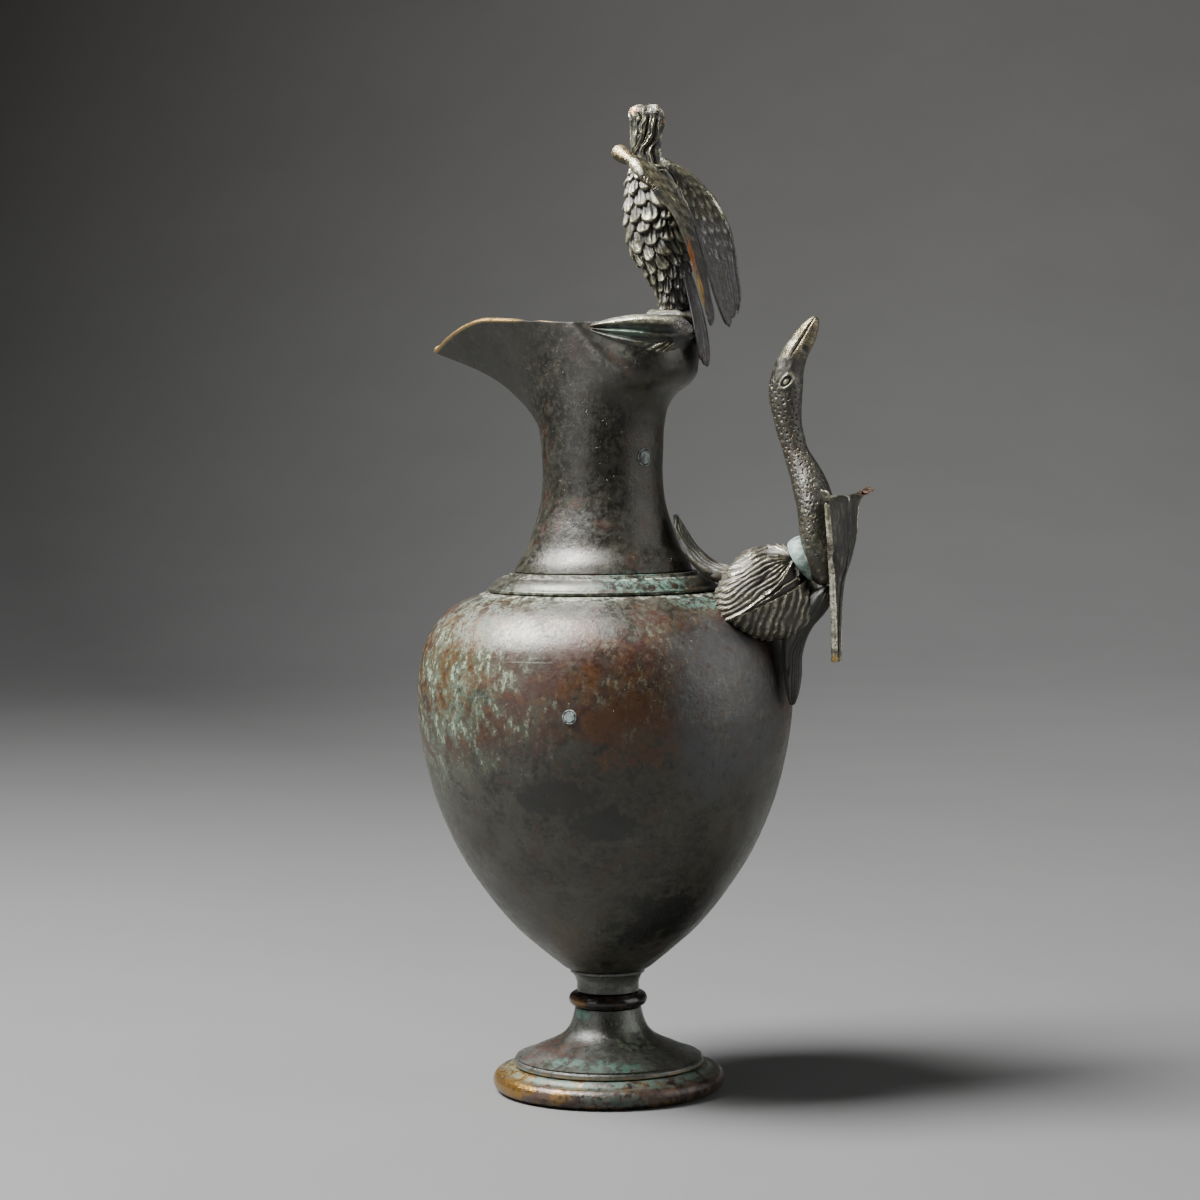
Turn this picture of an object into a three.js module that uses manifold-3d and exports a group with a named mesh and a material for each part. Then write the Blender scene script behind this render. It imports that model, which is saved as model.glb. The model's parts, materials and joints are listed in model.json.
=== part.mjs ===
// A bronze ewer with a beaked mouth. A bird perches on the back of its rim, and the foot of its handle
// is a leaf cup with a swan rising out of it.
// Millimetres, +Z up. The origin is the centre of the foot, on the surface that the ewer stands on.
// The spout points to -X and the handle fragments are at +X. Left is -Y, right is +Y.
import * as THREE from "three";
import { mergeVertices } from "three/addons/utils/BufferGeometryUtils.js";
import Module from "manifold-3d";

const wasm = await Module();
wasm.setup();

// Clear gap between pieces that touch, and the wall of the raised vessel.
const GAP = 0.3;
const WALL = 1.6;

// The foot: a rounded base ring, a spreading cone on it, a bead and a short stem.
const FOOT_RADIUS = 35.5;
const BASE_RING_HEIGHT = 7.6;
const DISC_RADIUS = 29;
const DISC_HEIGHT = 9.1;
const CONE_TOP = 25.2;
const CONE_TOP_RADIUS = 10.1;
const BEAD_HEIGHT = 27.6;
const BEAD_RADIUS = 12;
const BEAD_TUBE = 2.1;
const STEM_RADIUS = 9.5;
const STEM_BOTTOM = 30;
const STEM_TOP = 36.9;
const LEDGE_RADIUS = 11.4;

// The vessel: the belly, a raised band round the shoulder, and the neck with its mouth.
const BELLY_BOTTOM = 37.2;
const BELLY_RADIUS = 57;
const BAND_BOTTOM = 152.5;
const BAND_TOP = 158.2;
const NECK_BOTTOM = 158.5;
const NECK_RADIUS = 18.2;
const THROAT = 194;
const THROAT_RADIUS = 18.4;
const RIM_HEIGHT = 233;
const SPOUT_REACH = 56;
const SPOUT_DROP = 8;

// The bird on the rim and the swan at the handle.
const TOTAL_HEIGHT = 298.5;
const SWAN_SPLIT = 187;
const COLLAR_CENTRE = [65, 0, 162.6];
const COLLAR_RADIUS = 7.2;
const COLLAR_LENGTH = 4.6;
const COLLAR_TILT = 33;

// Colours of the patina.
const DARK_BRONZE = { color: 0x3d4039, roughness: 0.5, metalness: 0.6 };
const GREEN_BRONZE = { color: 0x5c675c, roughness: 0.65, metalness: 0.4 };
const BROWN_BRONZE = { color: 0x463a30, roughness: 0.45, metalness: 0.7 };
const WORN_BRONZE = { color: 0x8a6a3c, roughness: 0.4, metalness: 0.85 };
const GREY_PLUG = { color: 0x8e9794, roughness: 0.7, metalness: 0.3 };

const ewer = new THREE.Group();

// Adds a named piece to the ewer and gives it back, so that a caller can place it.
function piece(name, geometry, finish) {
  const mesh = new THREE.Mesh(geometry, new THREE.MeshStandardMaterial(finish));
  mesh.name = name;
  ewer.add(mesh);
  return mesh;
}

function degrees(angle) {
  return angle * Math.PI / 180;
}

// Merges shared vertices and turns the faces outwards.
function closed(geometry) {
  geometry.deleteAttribute("normal");
  geometry.deleteAttribute("uv");
  const merged = mergeVertices(geometry, 1e-4);
  const place = merged.attributes.position;
  const index = merged.index.array;
  const a = new THREE.Vector3();
  const b = new THREE.Vector3();
  const c = new THREE.Vector3();
  const faces = [];
  let volume = 0;
  for (let i = 0; i < index.length; i += 3) {
    const [p, q, r] = [index[i], index[i + 1], index[i + 2]];
    if (p === q || q === r || r === p) continue;
    faces.push(p, q, r);
    a.fromBufferAttribute(place, p);
    b.fromBufferAttribute(place, q);
    c.fromBufferAttribute(place, r);
    volume += a.dot(b.cross(c));
  }
  if (volume < 0) faces.reverse();
  merged.setIndex(faces);
  return merged;
}

// A skin over rings of points. Both ends are capped, unless the last ring runs back to the first.
function skin(rings, looped = false) {
  const count = rings[0].length;
  const points = rings.flat();
  const faces = [];
  const rows = looped ? rings.length : rings.length - 1;
  for (let row = 0; row < rows; row++) {
    const low = row * count;
    const high = ((row + 1) % rings.length) * count;
    for (let j = 0; j < count; j++) {
      const next = (j + 1) % count;
      faces.push(low + j, low + next, high + next);
      faces.push(low + j, high + next, high + j);
    }
  }
  if (!looped) {
    for (const [start, flip] of [[0, true], [(rings.length - 1) * count, false]]) {
      const middle = new THREE.Vector3();
      for (let j = 0; j < count; j++) middle.add(points[start + j]);
      points.push(middle.divideScalar(count));
      const centre = points.length - 1;
      for (let j = 0; j < count; j++) {
        const next = (j + 1) % count;
        faces.push(...(flip ? [centre, start + next, start + j] : [centre, start + j, start + next]));
      }
    }
  }
  const geometry = new THREE.BufferGeometry().setFromPoints(points);
  geometry.setIndex(faces);
  return closed(geometry);
}

// A turned piece round the Z axis, from a closed outline of [radius, height] points.
function turned(outline, segments) {
  const profile = outline.map(([radius, height]) => new THREE.Vector2(radius, height));
  const geometry = new THREE.LatheGeometry(profile, segments);
  geometry.rotateX(Math.PI / 2);
  return closed(geometry);
}

// A smooth run of [radius, height] points through a few given ones.
function smooth(outline, steps) {
  const curve = new THREE.SplineCurve(outline.map(([r, z]) => new THREE.Vector2(r, z)));
  return curve.getPoints(steps).map(p => [p.x, p.y]);
}

function solidOf(geometry) {
  return new wasm.Manifold(new wasm.Mesh({
    numProp: 3,
    vertProperties: new Float32Array(geometry.attributes.position.array),
    triVerts: new Uint32Array(geometry.index.array),
  }));
}

// Cuts the tools out of a piece and keeps its largest body.
function carved(geometry, ...tools) {
  let solid = solidOf(geometry);
  for (const tool of tools) solid = solid.subtract(solidOf(tool));
  const bodies = solid.decompose().sort((one, other) => other.volume() - one.volume());
  const mesh = bodies[0].getMesh();
  const result = new THREE.BufferGeometry();
  result.setAttribute("position", new THREE.BufferAttribute(new Float32Array(mesh.vertProperties), 3));
  result.setIndex(Array.from(mesh.triVerts));
  return result;
}

// Reads a smooth line through [position, value] points.
function along(points, position) {
  const last = points.length - 1;
  if (position <= points[0][0]) return points[0][1];
  if (position >= points[last][0]) return points[last][1];
  const i = points.findIndex((point, at) => position <= points[at + 1][0]);
  const [x0, y0] = points[i];
  const [x1, y1] = points[i + 1];
  const before = points[Math.max(i - 1, 0)];
  const after = points[Math.min(i + 2, last)];
  const t = (position - x0) / (x1 - x0);
  const slope0 = (y1 - before[1]) / (x1 - before[0]) * (x1 - x0);
  const slope1 = (after[1] - y0) / (after[0] - x0) * (x1 - x0);
  const t2 = t * t;
  const t3 = t2 * t;
  return (2 * t3 - 3 * t2 + 1) * y0 + (t3 - 2 * t2 + t) * slope0
    + (3 * t2 - 2 * t3) * y1 + (t3 - t2) * slope1;
}

// A limb with oval sections on a spine in the plane Y = 0.
// Each station is [x, z, half depth in the plane, half width across it].
// The lower half of each section is an oval too, unless corner is below 1, which fills its corners.
function limb(stations, rows, around, grow = 0, corner = 1) {
  const spine = new THREE.CatmullRomCurve3(stations.map(([x, z]) => new THREE.Vector3(x, 0, z)));
  const size = new THREE.CatmullRomCurve3(
    stations.map(([, , deep, wide]) => new THREE.Vector3(deep, wide, 0)));
  const rings = [];
  for (let row = 0; row <= rows; row++) {
    const t = row / rows;
    const centre = spine.getPoint(t);
    const way = spine.getTangent(t);
    const half = size.getPoint(t);
    const across = new THREE.Vector3(way.z, 0, -way.x);
    const end = row === 0 ? -grow : row === rows ? grow : 0;
    const ring = [];
    for (let j = 0; j < around; j++) {
      const turn = j / around * 2 * Math.PI;
      const power = Math.cos(turn) > 0 ? corner : 1;
      const deep = Math.sign(Math.cos(turn)) * Math.abs(Math.cos(turn)) ** power;
      const wide = Math.sign(Math.sin(turn)) * Math.abs(Math.sin(turn)) ** power;
      ring.push(centre.clone()
        .addScaledVector(way, end)
        .addScaledVector(across, (half.x + grow) * deep)
        .add(new THREE.Vector3(0, (half.y + grow) * wide, 0)));
    }
    rings.push(ring);
  }
  return skin(rings);
}

// A blade between two edges, such as a wing: thickest in its middle, thin at both edges.
function blade(front, back, thickness, rows, columns) {
  const one = new THREE.CatmullRomCurve3(front.map(p => new THREE.Vector3(...p)));
  const two = new THREE.CatmullRomCurve3(back.map(p => new THREE.Vector3(...p)));
  const rings = [];
  for (let row = 0; row <= rows; row++) {
    const t = row / rows;
    const a = one.getPoint(t);
    const b = two.getPoint(t);
    const chord = b.clone().sub(a);
    const way = one.getTangent(t).add(two.getTangent(t));
    const normal = chord.clone().cross(way).normalize();
    const ring = [];
    for (let j = 0; j < 2 * columns; j++) {
      const turn = j / (2 * columns) * 2 * Math.PI;
      const place = (1 - Math.cos(turn)) / 2;
      ring.push(a.clone().addScaledVector(chord, place)
        .addScaledVector(normal, Math.sin(turn) * thickness / 2));
    }
    rings.push(ring);
  }
  return skin(rings);
}

// Foot

// The base ring: a rounded torus with a hollow moulding above it, where the cone sits.
function baseRing() {
  const bottom = 32.4;
  const inner = 27;
  const roll = [];
  for (let step = 0; step <= 7; step++) {
    const turn = degrees(-90 + step * 180 / 7);
    roll.push([bottom + (FOOT_RADIUS - bottom) * Math.cos(turn), 3.1 + 3.1 * Math.sin(turn)]);
  }
  return turned([
    [inner, 0], ...roll,
    [31.1, 6.2], [30.2, 6.7], [29.8, BASE_RING_HEIGHT], [inner, BASE_RING_HEIGHT], [inner, 0],
  ], 40);
}

// The spreading cone, hollow underneath.
function footCone() {
  const outer = smooth([
    [DISC_RADIUS - 0.6, DISC_HEIGHT + 0.9], [21.7, 13.1], [14.5, 16.2], [11.5, 20],
    [CONE_TOP_RADIUS, CONE_TOP],
  ], 10);
  const floor = BASE_RING_HEIGHT + GAP;
  return turned([
    [25.6, floor], [DISC_RADIUS, floor], [DISC_RADIUS, DISC_HEIGHT + 0.3], ...outer,
    [7.6, CONE_TOP], [8.5, 19.2], [12, 13.8], [20, 10.6], [25.6, floor],
  ], 36);
}

// The disc that closes the foot from below: turned rings, and a boss that is level with the ground.
function footUnderplate() {
  const edge = 27 - GAP;
  const low = 2.4;
  return turned([
    [0, 0], [4.5, 0], [5.2, low], [10.4, low], [11.4, 1.1], [12.6, 1.1], [13.6, low],
    [19.4, low], [20.4, 1.1], [21.8, 1.1], [22.8, low], [edge, low], [edge, 4.6], [0, 4.6],
  ], 36);
}

function footBead() {
  const inner = CONE_TOP_RADIUS - 4;
  const low = CONE_TOP + GAP;
  const high = STEM_BOTTOM - GAP;
  const outline = [[inner, low], [CONE_TOP_RADIUS - 0.4, low]];
  for (let step = 0; step <= 8; step++) {
    const turn = degrees(-80 + step * 20);
    outline.push([
      BEAD_RADIUS - BEAD_TUBE + BEAD_TUBE * Math.cos(turn),
      BEAD_HEIGHT + BEAD_TUBE * Math.sin(turn),
    ]);
  }
  outline.push([STEM_RADIUS - 0.2, high], [inner, high], [inner, low]);
  return turned(outline, 32);
}

function stemCup() {
  return turned([
    [0, STEM_BOTTOM], [STEM_RADIUS, STEM_BOTTOM], [STEM_RADIUS, 32.4], [9.9, 34.2],
    [10.7, 35.7], [LEDGE_RADIUS, 36.3], [LEDGE_RADIUS, STEM_TOP], [0, STEM_TOP],
  ], 32);
}

piece("base_ring", baseRing(), WORN_BRONZE);
piece("foot_cone", footCone(), GREEN_BRONZE);
piece("foot_underplate", footUnderplate(), DARK_BRONZE);
piece("foot_bead", footBead(), BROWN_BRONZE);
piece("stem_cup", stemCup(), DARK_BRONZE);

// Vessel

const BELLY_OUTLINE = [
  [12.6, BELLY_BOTTOM], [19.9, 43.2], [28.3, 50.8], [36.9, 61.4], [44.9, 74], [51, 88], [54.6, 101],
  [56.5, 112], [BELLY_RADIUS, 120], [56.5, 128.5], [54, 138.2], [48.7, 145.6], [42.4, 149.9], [36.4, 152.2],
];

// The belly grown or shrunk sideways, as an open run of points from the bottom up.
function bellyRun(steps, grow) {
  return smooth(BELLY_OUTLINE, steps).map(([r, z]) => [r + grow, z]);
}

function belly() {
  const outer = bellyRun(22, 0);
  const inner = bellyRun(14, -WALL * 1.15).filter(([, z]) => z > 45 && z < 149).reverse();
  return turned([
    [0, BELLY_BOTTOM], ...outer, [32.6, 152.2], [32.6, 150.6], [38, 149.2], ...inner, [8, 39.4], [0, 39],
  ], 44);
}

function shoulderBand() {
  return turned([
    [32.6, BAND_BOTTOM], [34.9, BAND_BOTTOM], [35.2, 153.4], [33.6, 155.2], [31.2, 156.7],
    [28.8, 157.7], [28.3, BAND_TOP], [25.4, BAND_TOP], [25.4, 156.6], [30, 154.6], [32.6, BAND_BOTTOM],
  ], 44);
}

// Radius of the mouth's rim by its angle from the handle side, which is 0 degrees, to the spout at 180.
const MOUTH_PLAN = [
  [0, 29.5], [25, 28.8], [45, 25.6], [65, 20.8], [85, 18.2], [105, 18], [125, 20.2], [140, 24.2],
  [152, 29.6], [162.5, 37], [172, 46.8], [180, SPOUT_REACH],
];
// Share of the flare that is reached at each share of the height, at the handle side and at the spout.
const BACK_FLARE = [[0, 0], [0.24, 0.06], [0.38, 0.2], [0.46, 0.42], [0.53, 0.76], [0.6, 0.95], [0.68, 1.01],
  [0.82, 1], [1, 0.93]];
const SPOUT_FLARE = [[0, 0], [0.13, 0.025], [0.25, 0.065], [0.49, 0.21], [0.78, 0.54], [1, 1]];
const NECK_OUTLINE = [
  [27, NECK_BOTTOM], [26, 161], [23.3, 165.2], [21.2, 171.3], [19.2, 178], [NECK_RADIUS, 188],
];

function rimHeight(x) {
  const front = THREE.MathUtils.clamp((-x - 34) / (SPOUT_REACH - 34), 0, 1);
  return RIM_HEIGHT + 1.5 * THREE.MathUtils.smoothstep(-x, 0, 34) - (SPOUT_DROP + 1) * front ** 1.6;
}

// One ring of the neck: level runs from 0 at the shoulder to 1 at the throat and 2 at the rim.
function neckRing(level, around, grow) {
  const ring = [];
  for (let j = 0; j < around; j++) {
    const angle = j / around * 2 * Math.PI;
    const share = Math.max(level - 1, 0);
    const fold = 180 - Math.abs(180 - j / around * 360);
    const full = along(MOUTH_PLAN, fold);
    const front = THREE.MathUtils.smoothstep(fold, 50, 120);
    const flare = THREE.MathUtils.lerp(along(BACK_FLARE, share), along(SPOUT_FLARE, share), front);
    let radius = THREE.MathUtils.lerp(THROAT_RADIUS, full, flare);
    let height = THREE.MathUtils.lerp(THROAT, rimHeight(full * Math.cos(angle)), share);
    if (level < 1) {
      height = THREE.MathUtils.lerp(NECK_BOTTOM, THROAT, level);
      radius = along([...NECK_OUTLINE, [THROAT_RADIUS, THROAT]].map(([r, z]) => [z, r]), height);
    }
    ring.push(new THREE.Vector3(radius * Math.cos(angle), radius * Math.sin(angle), height));
  }
  if (grow === 0) return ring;
  return ring.map((point, j) => {
    const next = ring[(j + 1) % around];
    const last = ring[(j + around - 1) % around];
    const side = new THREE.Vector3(next.y - last.y, last.x - next.x, 0).normalize();
    return point.clone().addScaledVector(side, grow);
  });
}

// The levels at which rings are taken, closer together where the back of the mouth swells.
const NECK_LEVELS = [0, 0.07, 0.18, 0.34, 0.52, 0.76, 1, 1.2, 1.36, 1.44, 1.5, 1.56, 1.63, 1.75, 1.88, 2];
const MOUTH_AROUND = 44;

function neck() {
  const outer = NECK_LEVELS.map(level => neckRing(level, MOUTH_AROUND, 0));
  const inner = NECK_LEVELS.filter((level, i) => i % 2 === 1 || level === 0).reverse()
    .map(level => neckRing(level, MOUTH_AROUND, -WALL));
  return skin([...outer, ...inner], true);
}

// The filled vessel, a little larger, which is cut out of whatever is fitted against it.
function neckCore() {
  return skin(NECK_LEVELS.map(level => neckRing(level, MOUTH_AROUND, GAP)));
}

function bellyCore() {
  return turned([
    [0, BELLY_BOTTOM], ...bellyRun(22, GAP), [35.6, 153.4], [33.8, 155.5], [31.4, 157.1],
    [28.8, 158.2], [28.3, 158.8], [0, 158.8],
  ], 44);
}

piece("belly", belly(), DARK_BRONZE);
piece("shoulder_band", shoulderBand(), GREEN_BRONZE);
piece("neck_and_mouth", neck(), DARK_BRONZE);

// A small round plug set on the vessel's skin.
function plug(name, radius, distance, angle, height) {
  const disc = new THREE.CylinderGeometry(radius * 0.86, radius, 0.7, 16);
  disc.rotateZ(-Math.PI / 2);
  const mesh = piece(name, closed(disc), GREY_PLUG);
  const turn = degrees(angle);
  mesh.position.set(distance * Math.cos(turn), distance * Math.sin(turn), height);
  mesh.rotation.z = turn;
}
plug("neck_plug", 2.7, NECK_RADIUS + GAP + 0.4, -24.6, 192.7);
plug("belly_plug", 2.1, BELLY_RADIUS + GAP + 0.4, -78.3, 119);

// Fittings on the rim

const BIRD_TAIL = [[25, 252, 1, 3.4], [28.4, 247, 1.5, 4.6], [30.6, 240, 1.6, 5.2], [32.3, 233, 1.5, 5.4],
  [33.4, 226, 1.3, 5], [34, 219.4, 0.8, 3.6]];
const PERCH = [[15.2, 234.9, 0.5, 1.5], [17, 235, 1.5, 4.2], [21.5, 235, 1.7, 6.5], [26, 234.8, 1.8, 6.2],
  [29.4, 234.2, 1.5, 4.2], [31, 233.6, 0.5, 1.8]];
const perchCore = limb(PERCH, 10, 12, GAP);

// The clasping arms: how far their middle stands off the rim, its height at the back and its rise.
const ARM_STAND_OFF = 0.9;
const ARM_HEIGHT = RIM_HEIGHT - 4.8;
const ARM_RISE = 3;
const ARM_AROUND = 10;

// An arm that clasps the rim from the perch forwards, as an eye-shaped fold.
function rimArm(side) {
  const swell = [[0, 2.6], [0.06, 4.2], [0.3, 5.4], [0.55, 4.8], [0.8, 2.6], [1, 0.7]];
  const rings = [];
  const rows = 14;
  for (let row = 0; row <= rows; row++) {
    const t = row / rows;
    const fold = THREE.MathUtils.lerp(6, 80, t);
    const turn = degrees(fold) * side;
    const radius = along(MOUTH_PLAN, fold) + ARM_STAND_OFF;
    const half = along(swell, t);
    const ring = [];
    for (let j = 0; j < ARM_AROUND; j++) {
      const around = j / ARM_AROUND * 2 * Math.PI;
      const out = radius + 1.5 * Math.cos(around);
      const height = ARM_HEIGHT + half * Math.sin(around) + ARM_RISE * t;
      ring.push(new THREE.Vector3(out * Math.cos(turn), out * Math.sin(turn), height));
    }
    rings.push(ring);
  }
  return carved(skin(rings), neckCore(), perchCore, limb(BIRD_TAIL, 10, 10, GAP));
}

piece("perch", carved(limb(PERCH, 10, 12), neckCore()), GREEN_BRONZE);
piece("rim_arm_left", rimArm(-1), GREEN_BRONZE);
piece("rim_arm_right", rimArm(1), GREEN_BRONZE);

// Bird

const BIRD_BODY = [[24, 235.5, 4.2, 4.6], [23.8, 239.8, 5, 5.6], [22.6, 246.3, 6.4, 6.8],
  [20.9, 251, 7.9, 7.8], [19.4, 256, 9.4, 8.4], [17.9, 262.7, 9.6, 8.4], [16.8, 269, 8.9, 7.8],
  [15.6, 275, 7, 6.2], [14.6, 279.5, 5, 5]];
const BIRD_HEAD = [[14.2, 277, 4.2, 4.3], [14.8, 283, 4.3, 4.3], [15.2, 288, 4.5, 4.5], [15.5, 293, 4.9, 4.8],
  [15.5, 296.8, 4, 4], [15.5, TOTAL_HEIGHT, 1.6, 1.6]];

// A wing raised from the back: its wrist is a knob at the top, and its primaries hang down behind.
function birdWing(side) {
  const outer = [[12.6, 17.6, 283.2], [15.4, 19.6, 281.4], [20.2, 22.6, 278.4], [24.2, 25, 274],
    [27.2, 24.6, 271], [31.2, 22.2, 265.6], [34, 20.8, 260], [36, 19.2, 253], [37.5, 17.8, 246.3],
    [38.6, 16.3, 240.4], [38.8, 13.6, 235], [38.4, 10.8, 231.8]];
  const inner = [[13.6, 15.4, 281.6], [15.8, 12, 281], [19.4, 6.4, 279.5], [23.3, 4, 274.7],
    [26.2, 2, 269.8], [29.2, 1.3, 264], [30.6, 1, 259], [32.2, 1, 253.5], [33.6, 1.2, 248.6],
    [35.6, 2.6, 240.7], [37.2, 4, 235], [38, 7, 231.2]];
  const mirror = ([x, y, z]) => [x, y * side, z];
  return carved(blade(outer.map(mirror), inner.map(mirror), 2.2, 18, 5), limb(BIRD_BODY, 14, 14, GAP));
}

const birdBody = limb(BIRD_BODY, 14, 14);
const birdCore = limb(BIRD_BODY, 14, 14, GAP);
piece("bird_body", carved(birdBody, perchCore, neckCore()), GREEN_BRONZE);
piece("bird_head", carved(limb(BIRD_HEAD, 10, 12), birdCore), GREEN_BRONZE);
piece("bird_tail", carved(limb(BIRD_TAIL, 10, 10), birdCore, perchCore, neckCore()), GREEN_BRONZE);
piece("bird_wing_left", birdWing(-1), GREEN_BRONZE);
piece("bird_wing_right", birdWing(1), GREEN_BRONZE);

// Handle foot

const CALYX = [[39, 151, 5, 11], [42.4, 151, 9, 16.6], [46.6, 151.4, 12.4, 19.6], [51, 152, 14.2, 20],
  [56, 152.4, 14.6, 17.8], [60.5, 152.6, 13.8, 14.8], [63.4, 152.8, 11.6, 12], [65.4, 153.2, 8.2, 9],
  [66.6, 153.8, 4.4, 5.4]];
const CALYX_CORNER = 0.72;
const UPPER_LEAF = [[23.4, 175.4, 0.5, 1.2], [24.9, 171, 1.3, 3.6], [28.4, 164.6, 2, 5.2],
  [34.4, 159.2, 2.6, 5.6], [40, 157.4, 2.8, 5], [43, 157.2, 1.8, 4]];
const LOWER_LEAF = [[71.2, 154.4, 0.8, 2.6], [70.2, 151.8, 2.6, 5.4], [67.2, 148.2, 3.4, 6.6],
  [63.8, 144.4, 3.3, 6.6], [61.2, 139.6, 3.2, 6.4], [60, 133.6, 2.6, 6.2], [60.3, 127.6, 2.1, 5.4],
  [60.2, 122, 1.4, 3.6], [59.8, 118.8, 0.6, 1.2]];
const SWAN = [[70.2, 154.4, 1.4, 2.6], [70, 157, 3.6, 5], [69.4, 161.5, 4.8, 7.2], [68.8, 167.2, 5.2, 8.4],
  [68.4, 172.5, 5.2, 8.8], [67.4, 179.2, 5.2, 8], [65.4, 185.6, 4.9, 6.2], [63.4, 190, 4.3, 4.7],
  [61.6, 194.2, 3.7, 3.9], [59.9, 199.8, 3.9, 3.9], [59, 204.8, 4.3, 4.3], [58.6, 209.2, 4.9, 4.8],
  [58.8, 213.7, 5.1, 4.8], [59.6, 218.2, 4.5, 4.5], [61.5, 222.5, 3.8, 4], [64.2, 226.8, 3.3, 3.4],
  [66.4, 230.4, 2.5, 2.9], [67.9, 232.8, 1.3, 1.8], [68.4, 233.5, 0.5, 0.8]];
const swanFilled = limb(SWAN, 36, 14, GAP);

// The ring between the leaf cup and the swan. Its axis leans up and away from the vessel.
function collar(grow) {
  const half = COLLAR_LENGTH / 2 + grow;
  const rim = COLLAR_RADIUS + grow;
  const geometry = turned([
    [0, -half], [rim - 0.7, -half], [rim, -half * 0.4], [rim, half * 0.4], [rim - 0.7, half], [0, half],
  ], 28);
  geometry.rotateY(degrees(90 - COLLAR_TILT));
  geometry.translate(...COLLAR_CENTRE);
  return geometry;
}

// A swan's wing: a thin blade that flares at the wrist and narrows to a long tip.
function swanWing(side) {
  const outer = [[78.4, 23.8, 183.2], [76.6, 17.8, 180.8], [75.9, 14.6, 178], [75.8, 13.3, 174.4],
    [75.8, 11.9, 168.4], [75.1, 9, 165], [74.3, 6.2, 162], [74, 4.2, 156], [73.9, 3.2, 149],
    [73.9, 2.4, 141.5], [73.8, 1.9, 131.7]];
  const inner = [[77.4, 22.4, 181.4], [76.2, 12, 180.2], [76.8, 5, 179], [77.6, 1.2, 174], [77.6, 1.1, 166],
    [76.6, 1, 160], [75.4, 0.9, 155], [74.7, 0.8, 150], [74.3, 0.8, 145], [74, 0.7, 140],
    [73.4, 0.7, 131.9]];
  const mirror = ([x, y, z]) => [x, y * side, z];
  const wing = blade(outer.map(mirror), inner.map(mirror), 1.7, 20, 5);
  return carved(wing, swanFilled);
}

const bellyFilled = bellyCore();
const neckFilled = neckCore();
const calyx = carved(limb(CALYX, 14, 22, 0, CALYX_CORNER), bellyFilled, neckFilled, collar(GAP));
const calyxFilled = limb(CALYX, 14, 22, GAP, CALYX_CORNER);
const lowerLeafFilled = limb(LOWER_LEAF, 16, 12, GAP);

piece("calyx", calyx, GREEN_BRONZE);
const upperLeaf = carved(limb(UPPER_LEAF, 12, 12), calyxFilled, bellyFilled, neckFilled);
piece("calyx_upper_leaf", upperLeaf, GREEN_BRONZE);
const lowerLeaf = carved(limb(LOWER_LEAF, 16, 12), calyxFilled, bellyFilled, collar(GAP));
piece("calyx_lower_leaf", lowerLeaf, GREEN_BRONZE);
piece("swan_collar", collar(0), GREEN_BRONZE);

// Splits the swan at its shoulders, so that its body and its neck are two castings.
function swanPart(upper) {
  const sign = upper ? 1 : -1;
  const whole = solidOf(limb(SWAN, 36, 14));
  const part = whole.trimByPlane([0, 0, sign], sign * SWAN_SPLIT + (upper ? GAP : 0));
  const mesh = part.getMesh();
  const geometry = new THREE.BufferGeometry();
  geometry.setAttribute("position", new THREE.BufferAttribute(new Float32Array(mesh.vertProperties), 3));
  geometry.setIndex(Array.from(mesh.triVerts));
  return geometry;
}

piece("swan_body", carved(swanPart(false), calyxFilled, collar(GAP), lowerLeafFilled), GREEN_BRONZE);
piece("swan_neck", swanPart(true), GREEN_BRONZE);
piece("swan_wing_left", swanWing(-1), GREEN_BRONZE);
piece("swan_wing_right", swanWing(1), GREEN_BRONZE);

export default ewer;
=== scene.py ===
# %% [markdown]
# A bronze ewer with a bird on its rim and a swan on its shoulder. The plain solids of its pieces were
# packed beforehand, so this file starts by loading them. They fix where each piece lies and how large it
# is. The finer pieces made here take their places one by one. Sizes are in metres in the file that is
# loaded and in millimetres in most tables below, and MM turns one into the other.

# %% Load the frame
import json
import math
import bpy
import numpy as np
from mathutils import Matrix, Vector

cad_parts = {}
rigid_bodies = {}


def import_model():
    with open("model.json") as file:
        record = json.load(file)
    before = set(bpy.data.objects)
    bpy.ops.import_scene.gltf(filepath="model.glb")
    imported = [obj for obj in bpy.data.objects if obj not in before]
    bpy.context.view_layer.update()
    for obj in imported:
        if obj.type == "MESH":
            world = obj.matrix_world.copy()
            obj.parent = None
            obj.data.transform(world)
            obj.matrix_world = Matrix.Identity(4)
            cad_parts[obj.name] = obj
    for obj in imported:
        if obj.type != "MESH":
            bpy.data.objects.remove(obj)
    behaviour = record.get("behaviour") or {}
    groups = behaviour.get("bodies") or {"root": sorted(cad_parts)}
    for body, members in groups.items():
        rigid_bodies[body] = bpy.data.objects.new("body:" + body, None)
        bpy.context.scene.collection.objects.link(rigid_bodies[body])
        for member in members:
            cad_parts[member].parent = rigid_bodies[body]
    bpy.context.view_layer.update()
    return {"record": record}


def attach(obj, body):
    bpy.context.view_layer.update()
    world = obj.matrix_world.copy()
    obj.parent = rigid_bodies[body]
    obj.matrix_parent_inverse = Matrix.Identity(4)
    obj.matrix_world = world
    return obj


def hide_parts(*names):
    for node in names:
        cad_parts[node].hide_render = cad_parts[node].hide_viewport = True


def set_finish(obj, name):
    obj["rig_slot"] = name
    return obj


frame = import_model()
MM = 0.001

# %% [markdown]
# The camera stands where the photographer stood: a little to the swan's side, level with the neck,
# with a long lens. It looks down by about three degrees, and it leans by a fraction of a degree, as the
# ewer in the picture does.

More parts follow.
